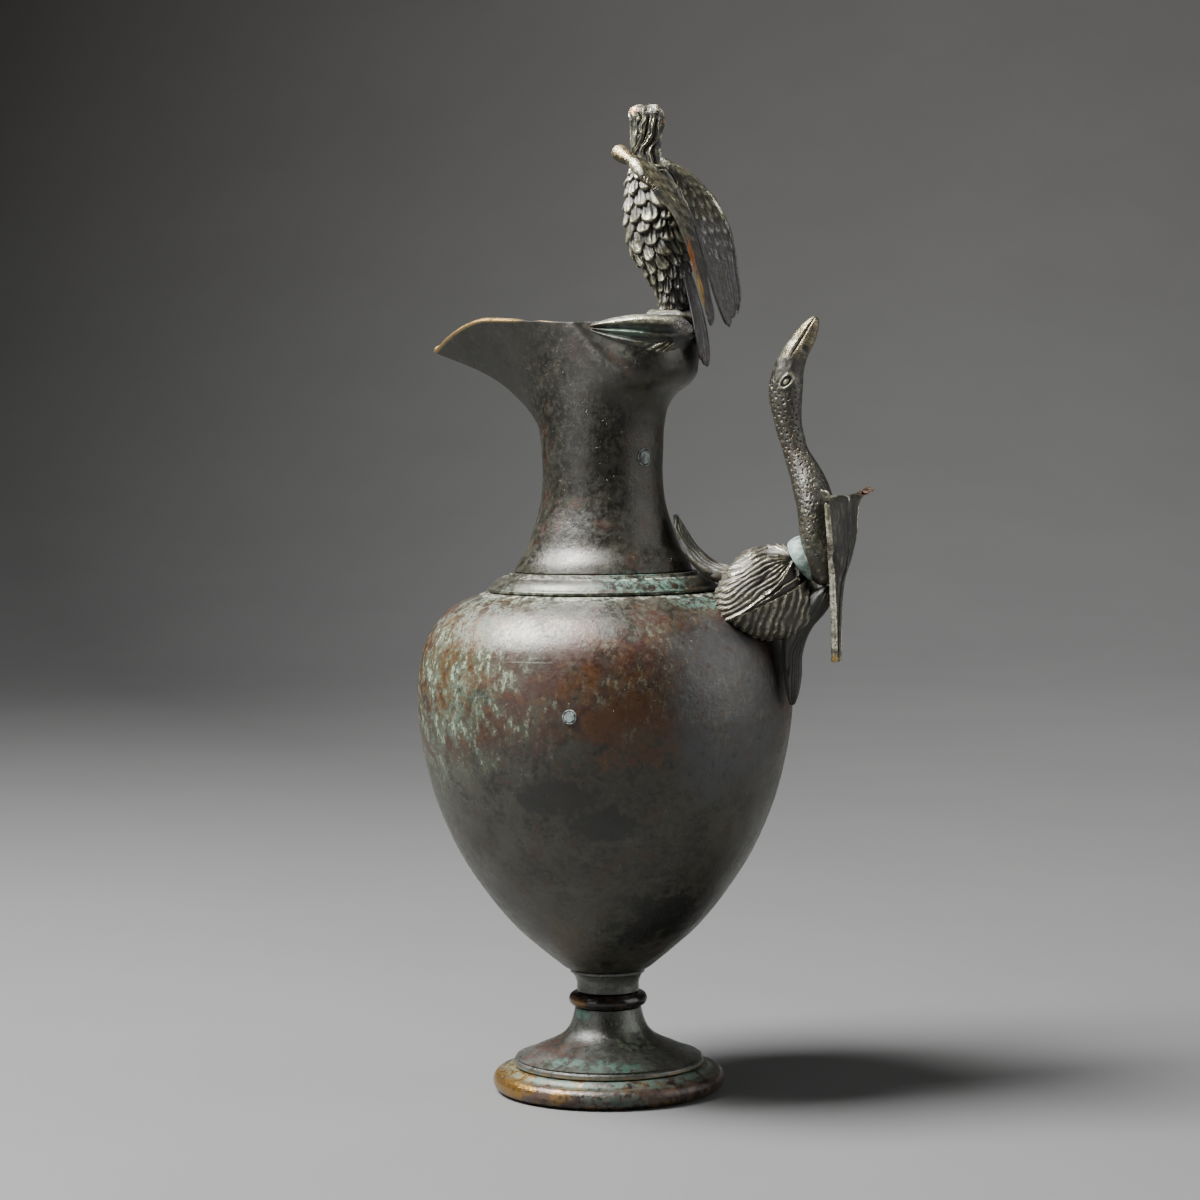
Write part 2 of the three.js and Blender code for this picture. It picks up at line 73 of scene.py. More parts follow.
# %% Camera
CAMERA_AZIMUTH = math.radians(22)
CAMERA_DISTANCE, CAMERA_HEIGHT = 0.94, 0.201
LENS, SENSOR_WIDTH = 93, 36
AIM_BELOW, AIM_LEFT = 0.0516, 0.0012
CAMERA_ROLL = math.radians(0.6)
UP = Vector((0, 0, 1))
RIGHT = Vector((math.cos(CAMERA_AZIMUTH), math.sin(CAMERA_AZIMUTH), 0))
BACK = Vector((-math.sin(CAMERA_AZIMUTH), math.cos(CAMERA_AZIMUTH), 0))


def aimed(item, place, aim):
    """Puts a camera or a light at a place and turns it towards another."""
    bpy.context.scene.collection.objects.link(item)
    item.location = place
    item.rotation_euler = (Vector(aim) - Vector(place)).to_track_quat("-Z", "Y").to_euler()
    return item


def add_camera():
    data = bpy.data.cameras.new("camera")
    data.lens = LENS
    data.sensor_width = SENSOR_WIDTH
    place = -BACK * CAMERA_DISTANCE + UP * CAMERA_HEIGHT
    aim = -RIGHT * AIM_LEFT + UP * (CAMERA_HEIGHT - AIM_BELOW)
    camera = aimed(bpy.data.objects.new("camera", data), place, aim)
    camera.rotation_euler.rotate_axis("Z", -CAMERA_ROLL)
    bpy.context.scene.camera = camera
    return camera


camera = add_camera()
print("camera at", tuple(round(v, 3) for v in camera.location))

# %% [markdown]
# A few small helpers are used by every piece. deselect clears the selection, because an operator acts
# on all that is selected. settle closes seams, turns the faces outwards and smooths the shading. mark
# stores a number on every point, which a material can read later. fit says which plain solid a new
# piece stands for, that it rides on the ewer, and which finish it takes.

# %% Helpers
SAME_POINT = 1e-6


def deselect():
    for item in list(bpy.context.selected_objects):
        item.select_set(False)


def activate(piece):
    deselect()
    piece.select_set(True)
    bpy.context.view_layer.objects.active = piece


def settle(piece, sharp=40, outwards=True):
    activate(piece)
    bpy.ops.object.mode_set(mode="EDIT")
    bpy.ops.mesh.select_all(action="SELECT")
    bpy.ops.mesh.remove_doubles(threshold=SAME_POINT)
    if outwards:
        bpy.ops.mesh.normals_make_consistent(inside=False)
    bpy.ops.object.mode_set(mode="OBJECT")
    bpy.ops.object.shade_smooth_by_angle(angle=math.radians(sharp))
    return piece


def flip_faces():
    bpy.ops.object.mode_set(mode="EDIT")
    bpy.ops.mesh.select_all(action="SELECT")
    bpy.ops.mesh.flip_normals()
    bpy.ops.object.mode_set(mode="OBJECT")


def mark(piece, name, values):
    layer = piece.data.attributes.new(name, "FLOAT", "POINT")
    layer.data.foreach_set("value", np.asarray(values, dtype=np.float32))


def points_of(piece):
    """The piece's points in metres, one row each."""
    flat = np.empty(len(piece.data.vertices) * 3)
    piece.data.vertices.foreach_get("co", flat)
    return flat.reshape(-1, 3)


def move_points(piece, place):
    """Puts the piece's points at places in millimetres."""
    piece.data.vertices.foreach_set("co", (place * MM).ravel())


def fit(piece, slot, *nodes):
    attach(piece, "root")
    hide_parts(*nodes)
    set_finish(piece, slot)
    print(piece.name, len(piece.data.polygons), "faces")
    return piece


# %% [markdown]
# A Catmull-Rom line passes through every point that it is given, which suits shapes measured at a few
# places. flow reads such a line at any number of positions at once, and heading tells which way it runs
# there. The same sizes were used for the plain solids, so the fine pieces follow them. step, bump and
# wave are the three simple curves that all relief is mixed from.

# %% Smooth lines
def flow(table, t):
    table = np.asarray(table, dtype=float)
    last = len(table) - 1
    longer = np.vstack([2 * table[0] - table[1], table, 2 * table[-1] - table[-2]])
    at = np.clip(np.asarray(t, dtype=float), 0, 1) * last
    i = np.minimum(at.astype(int), last - 1)
    f = (at - i)[..., None]
    a, b, c, d = (longer[i + k] for k in range(4))
    return 0.5 * (2 * b + (c - a) * f + (2 * a - 5 * b + 4 * c - d) * f ** 2
                  + (3 * b - a - 3 * c + d) * f ** 3)


def change(table, t, small=0.01):
    """How far the line moves from a little before t to a little after it."""
    return flow(table, np.clip(t + small, 0, 1)) - flow(table, np.clip(t - small, 0, 1))


def heading(table, t):
    way = change(table, t)
    return way / np.linalg.norm(way, axis=1)[:, None]


def curve(table, x):
    """A smooth line y(x) through [x, y] pairs, for any array x."""
    table = np.asarray(table, dtype=float)
    xs, ys = table[:, 0], table[:, 1]
    x = np.clip(x, xs[0], xs[-1])
    i = np.clip(np.searchsorted(xs, x, side="right") - 1, 0, len(xs) - 2)
    slopes = np.gradient(ys, xs)
    h = xs[i + 1] - xs[i]
    f = (x - xs[i]) / h
    return ((2 * f ** 3 - 3 * f ** 2 + 1) * ys[i] + (f ** 3 - 2 * f ** 2 + f) * h * slopes[i]
            + (3 * f ** 2 - 2 * f ** 3) * ys[i + 1] + (f ** 3 - f ** 2) * h * slopes[i + 1])


def step(low, high, x):
    f = np.clip((np.asarray(x, dtype=float) - low) / (high - low), 0, 1)
    return f * f * (3 - 2 * f)


def bump(x, middle, width):
    return np.exp(-((np.asarray(x) - middle) / width) ** 2)


def wave(x):
    """1 at 0 and at every full turn, and 0 half-way between them."""
    return 0.5 + 0.5 * np.cos(x)


def ring(t):
    """Cosine and sine of a share of a full turn."""
    return np.cos(2 * np.pi * t), np.sin(2 * np.pi * t)


def smooth_outline(points, count):
    return [tuple(row) for row in flow(points, np.linspace(0, 1, count))]


# %% [markdown]
# The foot, the belly and the shoulder band of the real ewer are turned or raised true round one axis.
# The same can be done here: one point is pulled along the outline, and the outline is spun round the
# axis. The last copy meets the first, so the doubles are merged and the faces turned outwards.

# %% A lathe
def turned(name, outline, steps=192, sharp=32):
    deselect()
    radius, height = outline[0]
    bpy.ops.mesh.primitive_plane_add(size=MM, location=(radius * MM, 0, height * MM))
    piece = bpy.context.object
    piece.name = name
    bpy.ops.object.transform_apply(location=True, rotation=True, scale=True)
    bpy.ops.object.mode_set(mode="EDIT")
    bpy.ops.mesh.merge(type="CENTER")
    for (r0, z0), (r1, z1) in zip(outline, outline[1:]):
        move = ((r1 - r0) * MM, 0, (z1 - z0) * MM)
        bpy.ops.mesh.extrude_region_move(TRANSFORM_OT_translate={"value": move})
    bpy.ops.mesh.select_all(action="SELECT")
    bpy.ops.mesh.spin(steps=steps, angle=2 * math.pi, center=(0, 0, 0), axis=(0, 0, 1))
    bpy.ops.object.mode_set(mode="OBJECT")
    return settle(piece, sharp)


# %% [markdown]
# The foot is five turned pieces: a rounded base ring, a spreading cone that ends in a thin disc, a plate
# that closes it from below, a glossy bead, and a short stem with a ledge that carries the belly. Their
# outlines go once round in millimetres from the axis and from the ground. The thin edge of the disc is
# marked on its points, because it is rubbed to gold there.

# %% Foot
def arc(middle, height, radius, first, last, count):
    """Points on a circle in the outline, between two angles in degrees."""
    turns = np.radians(np.linspace(first, last, count))
    return [(middle + radius * math.cos(a), height + radius * math.sin(a)) for a in turns]


BASE_RING = ([(27, 0.2), (27.3, 0), (31.6, 0)] + arc(32.2, 3.15, 3.15, -84, 62, 18)
             + [(33, 6), (32.2, 6), (31.4, 6.2), (30.8, 6.7), (30.4, 7.3), (29.9, 7.58), (27.2, 7.6),
                (27, 7.4), (27, 0.2)])
CONE_SIDE = smooth_outline([(28.3, 10.1), (25.2, 11.2), (21.7, 12.8), (17.8, 14.5), (14.5, 16.3),
                            (12.3, 18.6), (11.1, 21.1), (10.4, 23.6), (10.1, 25.1)], 40)
FOOT_CONE = ([(25.6, 7.9), (28.7, 7.9), (29, 8.1), (29.05, 8.6), (28.8, 9.2), (28.35, 9.5), (28.05, 9.72),
              (28.15, 9.95)] + CONE_SIDE
             + [(9.9, 25.2), (7.6, 25.2), (8.5, 19.2), (12, 13.8), (20, 10.6), (25.6, 7.9)])
UNDERPLATE = [(0, 0), (4.2, 0), (4.6, 0.2), (5.2, 2.4), (10.4, 2.4), (11, 1.3), (11.4, 1.1), (12.6, 1.1),
              (13, 1.3), (13.6, 2.4), (19.4, 2.4), (20, 1.3), (20.4, 1.1), (21.8, 1.1), (22.2, 1.3),
              (22.8, 2.4), (26.7, 2.4), (26.7, 4.6), (0, 4.6)]
BEAD = ([(6.1, 25.5), (9.8, 25.5)] + arc(9.85, 27.6, 2.1, -84, 84, 18)
        + [(9.3, 29.7), (6.1, 29.7), (6.1, 25.5)])
STEM_SIDE = smooth_outline([(9.5, 31), (9.45, 32.4), (9.8, 33.9), (10.5, 35.2), (10.8, 35.6)], 14)
STEM = ([(0, 30), (9.2, 30), (9.5, 30.2)] + STEM_SIDE
        + [(11.1, 35.75), (11.35, 36), (11.4, 36.6), (11.2, 36.85), (0, 36.9)])
FOOT = [("base_ring", BASE_RING, "worn_bronze"), ("foot_cone", FOOT_CONE, "foot_bronze"),
        ("foot_underplate", UNDERPLATE, "foot_bronze"), ("foot_bead", BEAD, "brown_bronze"),
        ("stem_cup", STEM, "foot_bronze")]
DISC_EDGE_HEIGHT, DISC_EDGE_FROM, DISC_EDGE_TO = 8.25, 28.7, 28.95

for node, outline, slot in FOOT:
    fit(turned(node + "_turned", outline), slot, node)
foot_cone = bpy.data.objects["foot_cone_turned"]
x, y, z = points_of(foot_cone).T / MM
mark(foot_cone, "edge", bump(z, DISC_EDGE_HEIGHT, 0.25) * step(DISC_EDGE_FROM, DISC_EDGE_TO, np.hypot(x, y)))

# %% [markdown]
# The belly is one open shell. Its outline goes up the outside, over the rim of its opening and down
# the inside again, so that spinning it gives a wall with a real thickness.

# %% Belly and shoulder band
BELLY_SIDE = [(12.6, 37.2), (19.9, 43.2), (28.3, 50.8), (36.9, 61.4), (44.9, 74), (51, 88), (54.6, 101),
              (56.5, 112), (57, 120), (56.5, 128.5), (54, 138.2), (48.7, 145.6), (42.4, 149.9), (36.6, 152)]
WALL = 1.85
outer = smooth_outline(BELLY_SIDE, 120)
inner = [(r - WALL, z) for r, z in smooth_outline(BELLY_SIDE, 60) if 45 < z < 148.6][::-1]
BELLY = ([(0, 37.2), (12.3, 37.2)] + outer[1:]
         + [(35.9, 152.15), (35.4, 151.8), (34.8, 152.2), (32.6, 152.2), (32.6, 150.6), (38, 149.2)]
         + inner + [(8, 39.6), (0, 39.2)])
BAND_SIDE = smooth_outline([(34.1, 154.1), (33.2, 155.3), (31.8, 156.3), (30.2, 157), (29.7, 157.15)], 14)
BAND = ([(32.6, 152.5), (34.9, 152.5), (35.2, 152.8), (35.25, 153.3), (34.9, 153.7), (34.3, 153.9)]
        + BAND_SIDE + [(29.3, 157), (28.9, 157.1), (28.75, 157.5), (28.6, 158), (28.2, 158.2), (25.4, 158.2),
                       (25.4, 156.6), (30, 154.6), (32.6, 152.5)])
BELLY_STEPS = 240
fit(turned("belly_raised", BELLY, BELLY_STEPS), "vessel_bronze", "belly")
fit(turned("shoulder_band_turned", BAND, BELLY_STEPS), "vessel_bronze", "shoulder_band")

# %% [markdown]
# The neck starts round and ends in a beaked mouth, so a spun outline isn't enough. It starts as a
# circle that is extruded upwards, one ring at a time. Each ring's points are then moved in or out by
# how far round the mouth they lie. A crease and a soft bulge beside it run up to the beak on either
# side. Solidify gives the wall its thickness, and a bevel rounds the rim.

# %% Mouth sizes
MOUTH_PLAN = [(0, 29.5), (25, 28.8), (45, 25.6), (65, 20.8), (85, 18.2), (105, 18), (125, 20.2), (140, 24.2),
              (152, 29.6), (162.5, 37), (172, 46.8), (180, 56)]
BACK_FLARE = [(0, 0), (0.24, 0.06), (0.38, 0.2), (0.46, 0.42), (0.53, 0.76), (0.6, 0.95), (0.68, 1.01),
              (0.82, 1), (1, 0.93)]
SPOUT_FLARE = [(0, 0), (0.13, 0.025), (0.25, 0.065), (0.49, 0.21), (0.78, 0.54), (1, 1)]
NECK_SIDE = [(158.5, 27), (161, 26), (165.2, 23.3), (171.3, 21.2), (178, 19.2), (188, 18.2), (194, 18.4)]
NECK_BOTTOM, THROAT, RIM_HEIGHT = 158.5, 194, 233
THROAT_RADIUS, SPOUT_FROM, SPOUT_REACH = 18.4, 34, 56


def rim_height(x):
    """The rim rises a little towards the front and dips at the tip of the beak."""
    front = np.clip((-x - SPOUT_FROM) / (SPOUT_REACH - SPOUT_FROM), 0, 1)
    return RIM_HEIGHT + 1.5 * step(0, SPOUT_FROM, -x) - 9 * front ** 1.6


def neck_place(level, turn):
    """Where the skin of the neck is: level 0 at the shoulder, 1 at the throat and 2 at the rim."""
    share = np.clip(level - 1, 0, 1)
    fold = np.degrees(np.abs(np.arctan2(np.sin(turn), np.cos(turn))))
    full = curve(MOUTH_PLAN, fold)
    front = step(50, 120, fold)
    flare = curve(BACK_FLARE, share) * (1 - front) + curve(SPOUT_FLARE, share) * front
    radius = THROAT_RADIUS + (full - THROAT_RADIUS) * flare
    height = THROAT + (rim_height(full * np.cos(turn)) - THROAT) * share
    low = NECK_BOTTOM + (THROAT - NECK_BOTTOM) * np.clip(level, 0, 1)
    radius = np.where(level < 1, curve(NECK_SIDE, low), radius)
    height = np.where(level < 1, low, height)
    return np.stack([radius * np.cos(turn), radius * np.sin(turn), height], axis=-1)


# %% Neck and mouth
NECK_AROUND, NECK_RINGS, NECK_SHARP = 240, 110, 50
NECK_WALL, RIM_ROUNDING = 1.6, 0.45
CREASE_FROM, CREASE_LOW, CREASE_HIGH = 0.72, 32, 97
CREASE_DEPTH, BULGE_HEIGHT, BULGE_BESIDE = 0.5, 0.3, 12


def apply_modifier(piece, kind, **settings):
    modifier = piece.modifiers.new(kind, kind)
    for key, value in settings.items():
        setattr(modifier, key, value)
    bpy.ops.object.modifier_apply(modifier=modifier.name)


def make_neck():
    deselect()
    bpy.ops.mesh.primitive_circle_add(vertices=NECK_AROUND, radius=NECK_SIDE[0][1] * MM,
                                      location=(0, 0, NECK_BOTTOM * MM))
    piece = bpy.context.object
    piece.name = "neck_and_mouth_raised"
    bpy.ops.object.transform_apply(location=True, rotation=True, scale=True)
    rise = (RIM_HEIGHT - NECK_BOTTOM) / NECK_RINGS
    bpy.ops.object.mode_set(mode="EDIT")
    bpy.ops.mesh.select_all(action="SELECT")
    for _ in range(NECK_RINGS):
        bpy.ops.mesh.extrude_edges_move(TRANSFORM_OT_translate={"value": (0, 0, rise * MM)})
    bpy.ops.object.mode_set(mode="OBJECT")
    place = points_of(piece)
    share = (place[:, 2] / MM - NECK_BOTTOM) / (RIM_HEIGHT - NECK_BOTTOM)
    turn = np.arctan2(place[:, 1], place[:, 0])
    fold = np.degrees(np.abs(turn))
    climb = np.clip((share - CREASE_FROM) / (1 - CREASE_FROM), 0, 1)
    crease_at = CREASE_LOW + (CREASE_HIGH - CREASE_LOW) * climb
    crease = bump(fold, crease_at, 5) * step(CREASE_FROM, CREASE_FROM + 0.1, share)
    bulge = bump(fold, crease_at - BULGE_BESIDE, 8) * step(CREASE_FROM + 0.02, CREASE_FROM + 0.16, share)
    push = (BULGE_HEIGHT * bulge - CREASE_DEPTH * crease)[:, None]
    place = neck_place(share * 2, turn)
    place[:, :2] += push * np.stack([np.cos(turn), np.sin(turn)], axis=-1)
    move_points(piece, place)
    settle(piece, NECK_SHARP)
    first = piece.data.polygons[0]
    if first.normal.x * first.center.x + first.normal.y * first.center.y < 0:
        flip_faces()
    apply_modifier(piece, "SOLIDIFY", thickness=NECK_WALL * MM, offset=-1)
    apply_modifier(piece, "BEVEL", width=RIM_ROUNDING * MM, segments=3, limit_method="ANGLE",
                   angle_limit=math.radians(NECK_SHARP))
    return settle(piece, NECK_SHARP, outwards=False)


neck = fit(make_neck(), "vessel_bronze", "neck_and_mouth")
x, y, z = points_of(neck).T / MM
mark(neck, "rim", step(-0.75, -0.25, z - rim_height(x)) * step(-18, -26, x))

# %% [markdown]
# Two round plugs mend the skin, one in the neck and one in the belly. Each is turned as a small flat
# disc with a groove near its edge. Its points are then laid on the curved skin: across the disc becomes
# round the ewer, up the disc stays up, and the disc's own height becomes the distance from the axis.

# %% Plugs
def plug(name, radius, turn, height, side, node):
    outline = [(0, 0.42), (radius * 0.7, 0.4), (radius * 0.78, 0.26), (radius * 0.84, 0.24),
               (radius * 0.9, 0.38), (radius * 0.97, 0.34), (radius, 0.1), (radius, -0.3), (0, -0.3)]
    disc = turned(name, outline, 64)
    across, along, thick = points_of(disc).T / MM
    groove = bump(np.hypot(across, along) / radius, 0.81, 0.07)
    mark(disc, "relief", np.clip(0.75 - 0.75 * groove, 0, 1))
    up = height + along
    skin = np.interp(up, [row[0] for row in side], [row[1] for row in side])
    at = math.radians(turn) + across / skin
    out = skin + thick
    move_points(disc, np.stack([out * np.cos(at), out * np.sin(at), up], axis=1))
    fit(settle(disc), "grey_plug", node)


plug("neck_plug_set", 2.7, -24.6, 192.7, NECK_SIDE, "neck_plug")
plug("belly_plug_set", 2.1, -78.3, 119, [(z, r) for r, z in outer], "belly_plug")

# %% [markdown]
# The figures are cast, so their feathers and leaves are not separate sheets but relief in one skin. A
# grid is added, rolled round the figure's middle line and raised or lowered point by point. Its two
# long sides meet in a seam and its ends close in poles, which settle merges. The height of the relief
# is kept on each point as well, because the materials follow it: dirt of the real bronze with painted
# shade in the hollows, and its pale rubbed edges with painted highlights on the high points.

# %% Rolled grids
def rolled(name, rows, around, shape, sharp=70):
    deselect()
    bpy.ops.mesh.primitive_grid_add(x_subdivisions=rows, y_subdivisions=around, size=1, location=(0, 0, 0))
    piece = bpy.context.object
    piece.name = name
    grid = points_of(piece)
    place, relief = shape(grid[:, 0] + 0.5, grid[:, 1] + 0.5)
    move_points(piece, place)
    mark(piece, "relief", relief)
    return settle(piece, sharp)


def joined(name, pieces):
    activate(pieces[0])
    for other in pieces[1:]:
        other.select_set(True)
    bpy.ops.object.join()
    pieces[0].name = name
    return pieces[0]


def end_caps(s, low, high):
    """1 in the middle and 0 at both ends, on a quarter circle at each end."""
    start = np.sqrt(1 - (1 - np.clip(s / low, 0, 1)) ** 2)
    stop = np.sqrt(1 - (1 - np.clip((1 - s) / high, 0, 1)) ** 2)
    return start * stop


def fade_ends(s, low, high):
    """1 in the middle and 0 at both ends, with a soft slope at each."""
    return step(0, low, s) * step(0, high, 1 - s)


def leaf_ends(s, tip):
    """1 along a leaf, falling to 0 at its root and, in a round tip, at its end."""
    return np.sqrt(np.clip(1 - np.clip((s - 1 + tip) / tip, 0, 1) ** 2, 0, 1) * np.clip(s / 0.03, 0, 1))


def puffed(x, power):
    """The number to a power, with its own sign."""
    return np.sign(x) * np.abs(x) ** power


def both_faces(face):
    """1 on the front of a sheet and -1 on its back, through 0 at its edges."""
    return np.sign(face) * np.minimum(np.abs(face) * 4, 1)


def limb(stations, low=0.04, high=0.04, corner=1.0):
    """An oval tube round a line in the plane Y = 0. A station is x, z, half depth, half width.
    A corner below 1 fills out the lower half of each oval."""
    def base(s, t):
        row = flow(stations, s)
        way = heading(np.asarray(stations)[:, :2], s)
        close = end_caps(s, low, high)
        cos, sin = ring(t)
        power = np.where(cos > 0, corner, 1)
        deep = row[:, 2] * close * puffed(cos, power)
        wide = row[:, 3] * close * puffed(sin, power)
        return np.stack([row[:, 0] + way[:, 1] * deep, wide, row[:, 1] - way[:, 0] * deep], axis=1)
    return base


def lifted(base, s, t, height, small=0.002):
    """The base's points moved outwards by height."""
    place = base(s, t)
    along = base(np.clip(s + small, 0, 1), t) - base(np.clip(s - small, 0, 1), t)
    out = np.cross(along, base(s, t + small) - base(s, t - small))
    out /= np.linalg.norm(out, axis=1)[:, None] + 1e-9
    middle = (place + base(s, t + 0.5)) / 2
    out *= np.where(np.sum(out * (place - middle), axis=1) < 0, -1, 1)[:, None]
    return place + out * np.asarray(height)[:, None]


def lumps(place, size, seed):
    """Smooth random numbers from about -1 to 1 in space, with lumps of the given size."""
    rng = np.random.default_rng(seed)
    total = 0
    for _ in range(6):
        way = rng.normal(size=3)
        way *= 2 * np.pi / size / np.linalg.norm(way)
        total = total + np.sin(place @ way + rng.uniform(0, 6.3))
    return total / 3


# %% [markdown]
# A feather of the breast is a round-ended scale that rises towards its tip and is chased with a few
# lengthwise strands. The rows are staggered, and each row lies over the one below. One function
# answers, for any point of the skin, which feather is on top there and how high it is.

# %% Scale feathers
def chance_of(row, column):
    """A number from 0 to 1 that differs from feather to feather and is the same in each run."""
    return np.mod(np.sin(row * 12.9898 + column * 78.233) * 43758.5453, 1)


def feathers(u, v, reach=1.75, half=0.6, strands=3.5, wrap=None):
    """Height from 0 to 1 of overlapping feathers. u counts them across and v counts rows downwards."""
    height = np.zeros_like(u)
    found = np.zeros(u.shape, dtype=bool)
    row = np.floor(v)
    for back in (2, 1, 0):
        r = row - back
        shift = 0.5 * np.mod(r, 2)
        c = np.round(u - shift) + shift
        chance = chance_of(r, np.mod(c, wrap) if wrap else c)
        across = (u - c) / half + 0.25 * (chance - 0.5)
        down = (v - r) / (reach * (0.88 + 0.24 * chance))
        tip = np.clip(1 - np.abs(across) ** 2.6, 0, 1) ** 0.5
        here = (down < tip) & (np.abs(across) < 1) & ~found & (r >= -1)
        lines = wave(np.pi * strands * across * (1.1 - 0.3 * down) + 6 * chance)
        rise = 0.16 + 0.68 * down - 0.34 * across ** 2 + 0.14 * chance
        rise += 0.18 * (lines - 0.5) * step(1.1, 0.6, down)
        rise *= step(0, 0.14, tip - down) * 0.3 + 0.7
        height = np.where(here, rise, height)
        found |= here
    return np.clip(height, 0, 1)


# %% Bird's body
BIRD_BODY = [(24, 235.5, 4.2, 4.6), (23.8, 239.8, 5, 5.6), (22.6, 246.3, 6.4, 6.8), (20.9, 251, 7.9, 7.8),
             (19.4, 256, 9.4, 8.4), (17.9, 262.7, 9.6, 8.4), (16.8, 269, 8.9, 7.8), (15.6, 275, 7, 6.2),
             (14.6, 279.5, 5, 5)]
BREAST_ROWS, BREAST_AROUND = 12.5, 11


def bird_body(s, t):
    base = limb(BIRD_BODY)
    flat = base(s, t)
    down = (1 - s ** 0.92) * BREAST_ROWS
    sway = 0.2 * lumps(flat, 13, 6)
    height = feathers(t * BREAST_AROUND + sway, down + sway, reach=1.35, half=0.62, strands=4,
                      wrap=BREAST_AROUND)
    uneven = 0.2 * lumps(flat, 5, 2)
    return lifted(base, s, t, (height * 2.2 - 1.5 + uneven) * fade_ends(s, 0.04, 0.03)), height


fit(rolled("bird_body_feathers", 300, 280, bird_body), "cast_bronze", "bird_body")

# %% [markdown]
# The bird's head and neck are one column of long wavy locks. Each lock is a ridge that runs down the
# column and swings from side to side, so its place round the column depends on the height. Finer
# ridges split each lock. At the top the locks part over three round lobes, of which one is smooth.

# %% Bird's head
BIRD_HEAD = [(14.1, 275.5, 4.3, 4.4), (14.7, 281, 4.4, 4.4), (15, 286, 4.4, 4.4), (15.3, 291, 4.7, 4.6),
             (15.5, 294.6, 4.9, 4.8), (15.5, 297.2, 4.2, 4.2)]
FACING = 292 / 360
LOBES = [((13.6, -2.2, 295.4), 2.6, 1.2), ((16.9, 1.2, 295.6), 2.7, 1.1), ((18.8, 0.6, 292.4), 2.3, 0.7)]


def bird_head(s, t):
    down = 1 - s
    side = 2 * np.pi * (t - FACING)
    base = limb(BIRD_HEAD, 0.04, 0.16)
    flat = base(s, t)
    swing = 9 * down ** 0.8 + 1.9 * np.sin(2 * np.pi * 1.6 * down + 0.8)
    swing += 1.1 * np.sin(2 * np.pi * 3.3 * down + side) + 0.7 * lumps(flat, 7, 31)
    lock = wave(11 * side + swing + 0.9 * lumps(flat, 3.5, 44))
    fine = wave(31 * side + 3 * swing + 1.8 * lumps(flat, 3, 7))
    uneven = 0.8 + 0.4 * lumps(flat, 4, 3)
    relief = 0.62 * lock ** 0.8 + 0.38 * fine
    near = [np.exp(-(np.linalg.norm(flat - centre, axis=1) / size) ** 4) for centre, size, _ in LOBES]
    lobes = sum(lobe[2] * amount for lobe, amount in zip(LOBES, near))
    smooth = near[0]
    carved = (relief - 0.72) * 1.4 * uneven * (1 - 0.75 * smooth)
    relief = np.clip(relief * uneven * (1 - smooth) + 0.85 * smooth, 0, 1)
    return lifted(base, s, t, carved * fade_ends(s, 0.05, 0.03) + lobes), relief


fit(rolled("bird_head_locks", 220, 220, bird_head), "cast_bronze", "bird_head")

# %% [markdown]
# A raised wing is a thin sheet between two edges. Scale feathers cover its upper part, as relief in the
# sheet. Broad flat primaries with round tips reach out below them: each is a long leaf laid on a plain
# blade, and the inner ones are longer. The leading edge is a roll. The near wing's roll starts as a
# smooth knob at the wrist, swells once more and then carries a short ribbed stretch. The far wing's
# roll is plain.

# %% Bird's wings
WING_OUTER = [(12.6, 17.6, 283.2), (15.4, 19.6, 281.4), (20.2, 22.6, 278.4), (24.2, 25, 274),
              (27.2, 24.6, 271), (31.2, 22.2, 265.6), (34, 20.8, 260), (36, 19.2, 253),
              (37.5, 17.8, 246.3), (38.6, 16.3, 240.4), (38.8, 13.6, 235), (38.4, 10.8, 231.8)]
WING_INNER = [(13.6, 15.4, 281.6), (15.8, 12, 281), (19.4, 6.4, 279.5), (23.3, 4, 274.7),
              (26.2, 2, 269.8), (29.2, 1.3, 264), (30.6, 1, 259), (32.2, 1, 253.5), (33.6, 1.2, 248.6),
              (35.6, 2.6, 240.7), (37.2, 4, 235), (38, 7, 231.2)]
PRIMARY_TIPS = [0.86, 0.93, 0.98, 1.0, 0.985]
PRIMARY_ROOT, COVERTS_START, COVERTS_END = 0.4, 0.02, 0.68
BLADE_START, BLADE_LENGTH = 0.45, 0.44


def sheet(outer_edge, inner_edge):
    """Places on the sheet between two edges, and the way straight out of it."""
    def place(s, c):
        one, two = flow(outer_edge, s), flow(inner_edge, s)
        out = np.cross(two - one, change(outer_edge, s) + change(inner_edge, s))
        out /= np.linalg.norm(out, axis=1)[:, None] + 1e-9
        return one + (two - one) * np.asarray(c)[:, None], out
    return place


wing_sheet = sheet(WING_OUTER, WING_INNER)


def coverts(s, t):
    across, face = ring(t)
    c = (1 - across) / 2
    along = COVERTS_START + (COVERTS_END - COVERTS_START) * s
    relief = feathers(c * 4.6 + 0.3, (along - 0.06) * 16, strands=2.5)
    thick = np.interp(along, [0, 0.1, 0.25, 0.45, COVERTS_END], [2.2, 2.4, 2.2, 1.9, 1.4])
    close = end_caps(s, 0.05, 0.04)
    height = (puffed(face, 0.5) * thick / 2 + (relief - 0.7) * 1.1 * both_faces(face)) * close
    middle, out = wing_sheet(along, c + (0.5 - c) * (1 - close))
    return middle + out * height[:, None], relief


ROLL_RADIUS = [(0, 2.3), (0.04, 2.45), (0.09, 2.4), (0.135, 2.1), (0.165, 1.55), (0.2, 1.75), (0.235, 1.8),
               (0.27, 1.35), (0.3, 1.25), (0.42, 1.05), (0.6, 0.8), (0.8, 0.6), (1, 0.5)]
PLAIN_RADIUS = [(0, 1.3), (0.2, 1.2), (0.45, 1), (0.6, 0.8), (0.8, 0.6), (1, 0.5)]
ROLL_LENGTH = 0.9


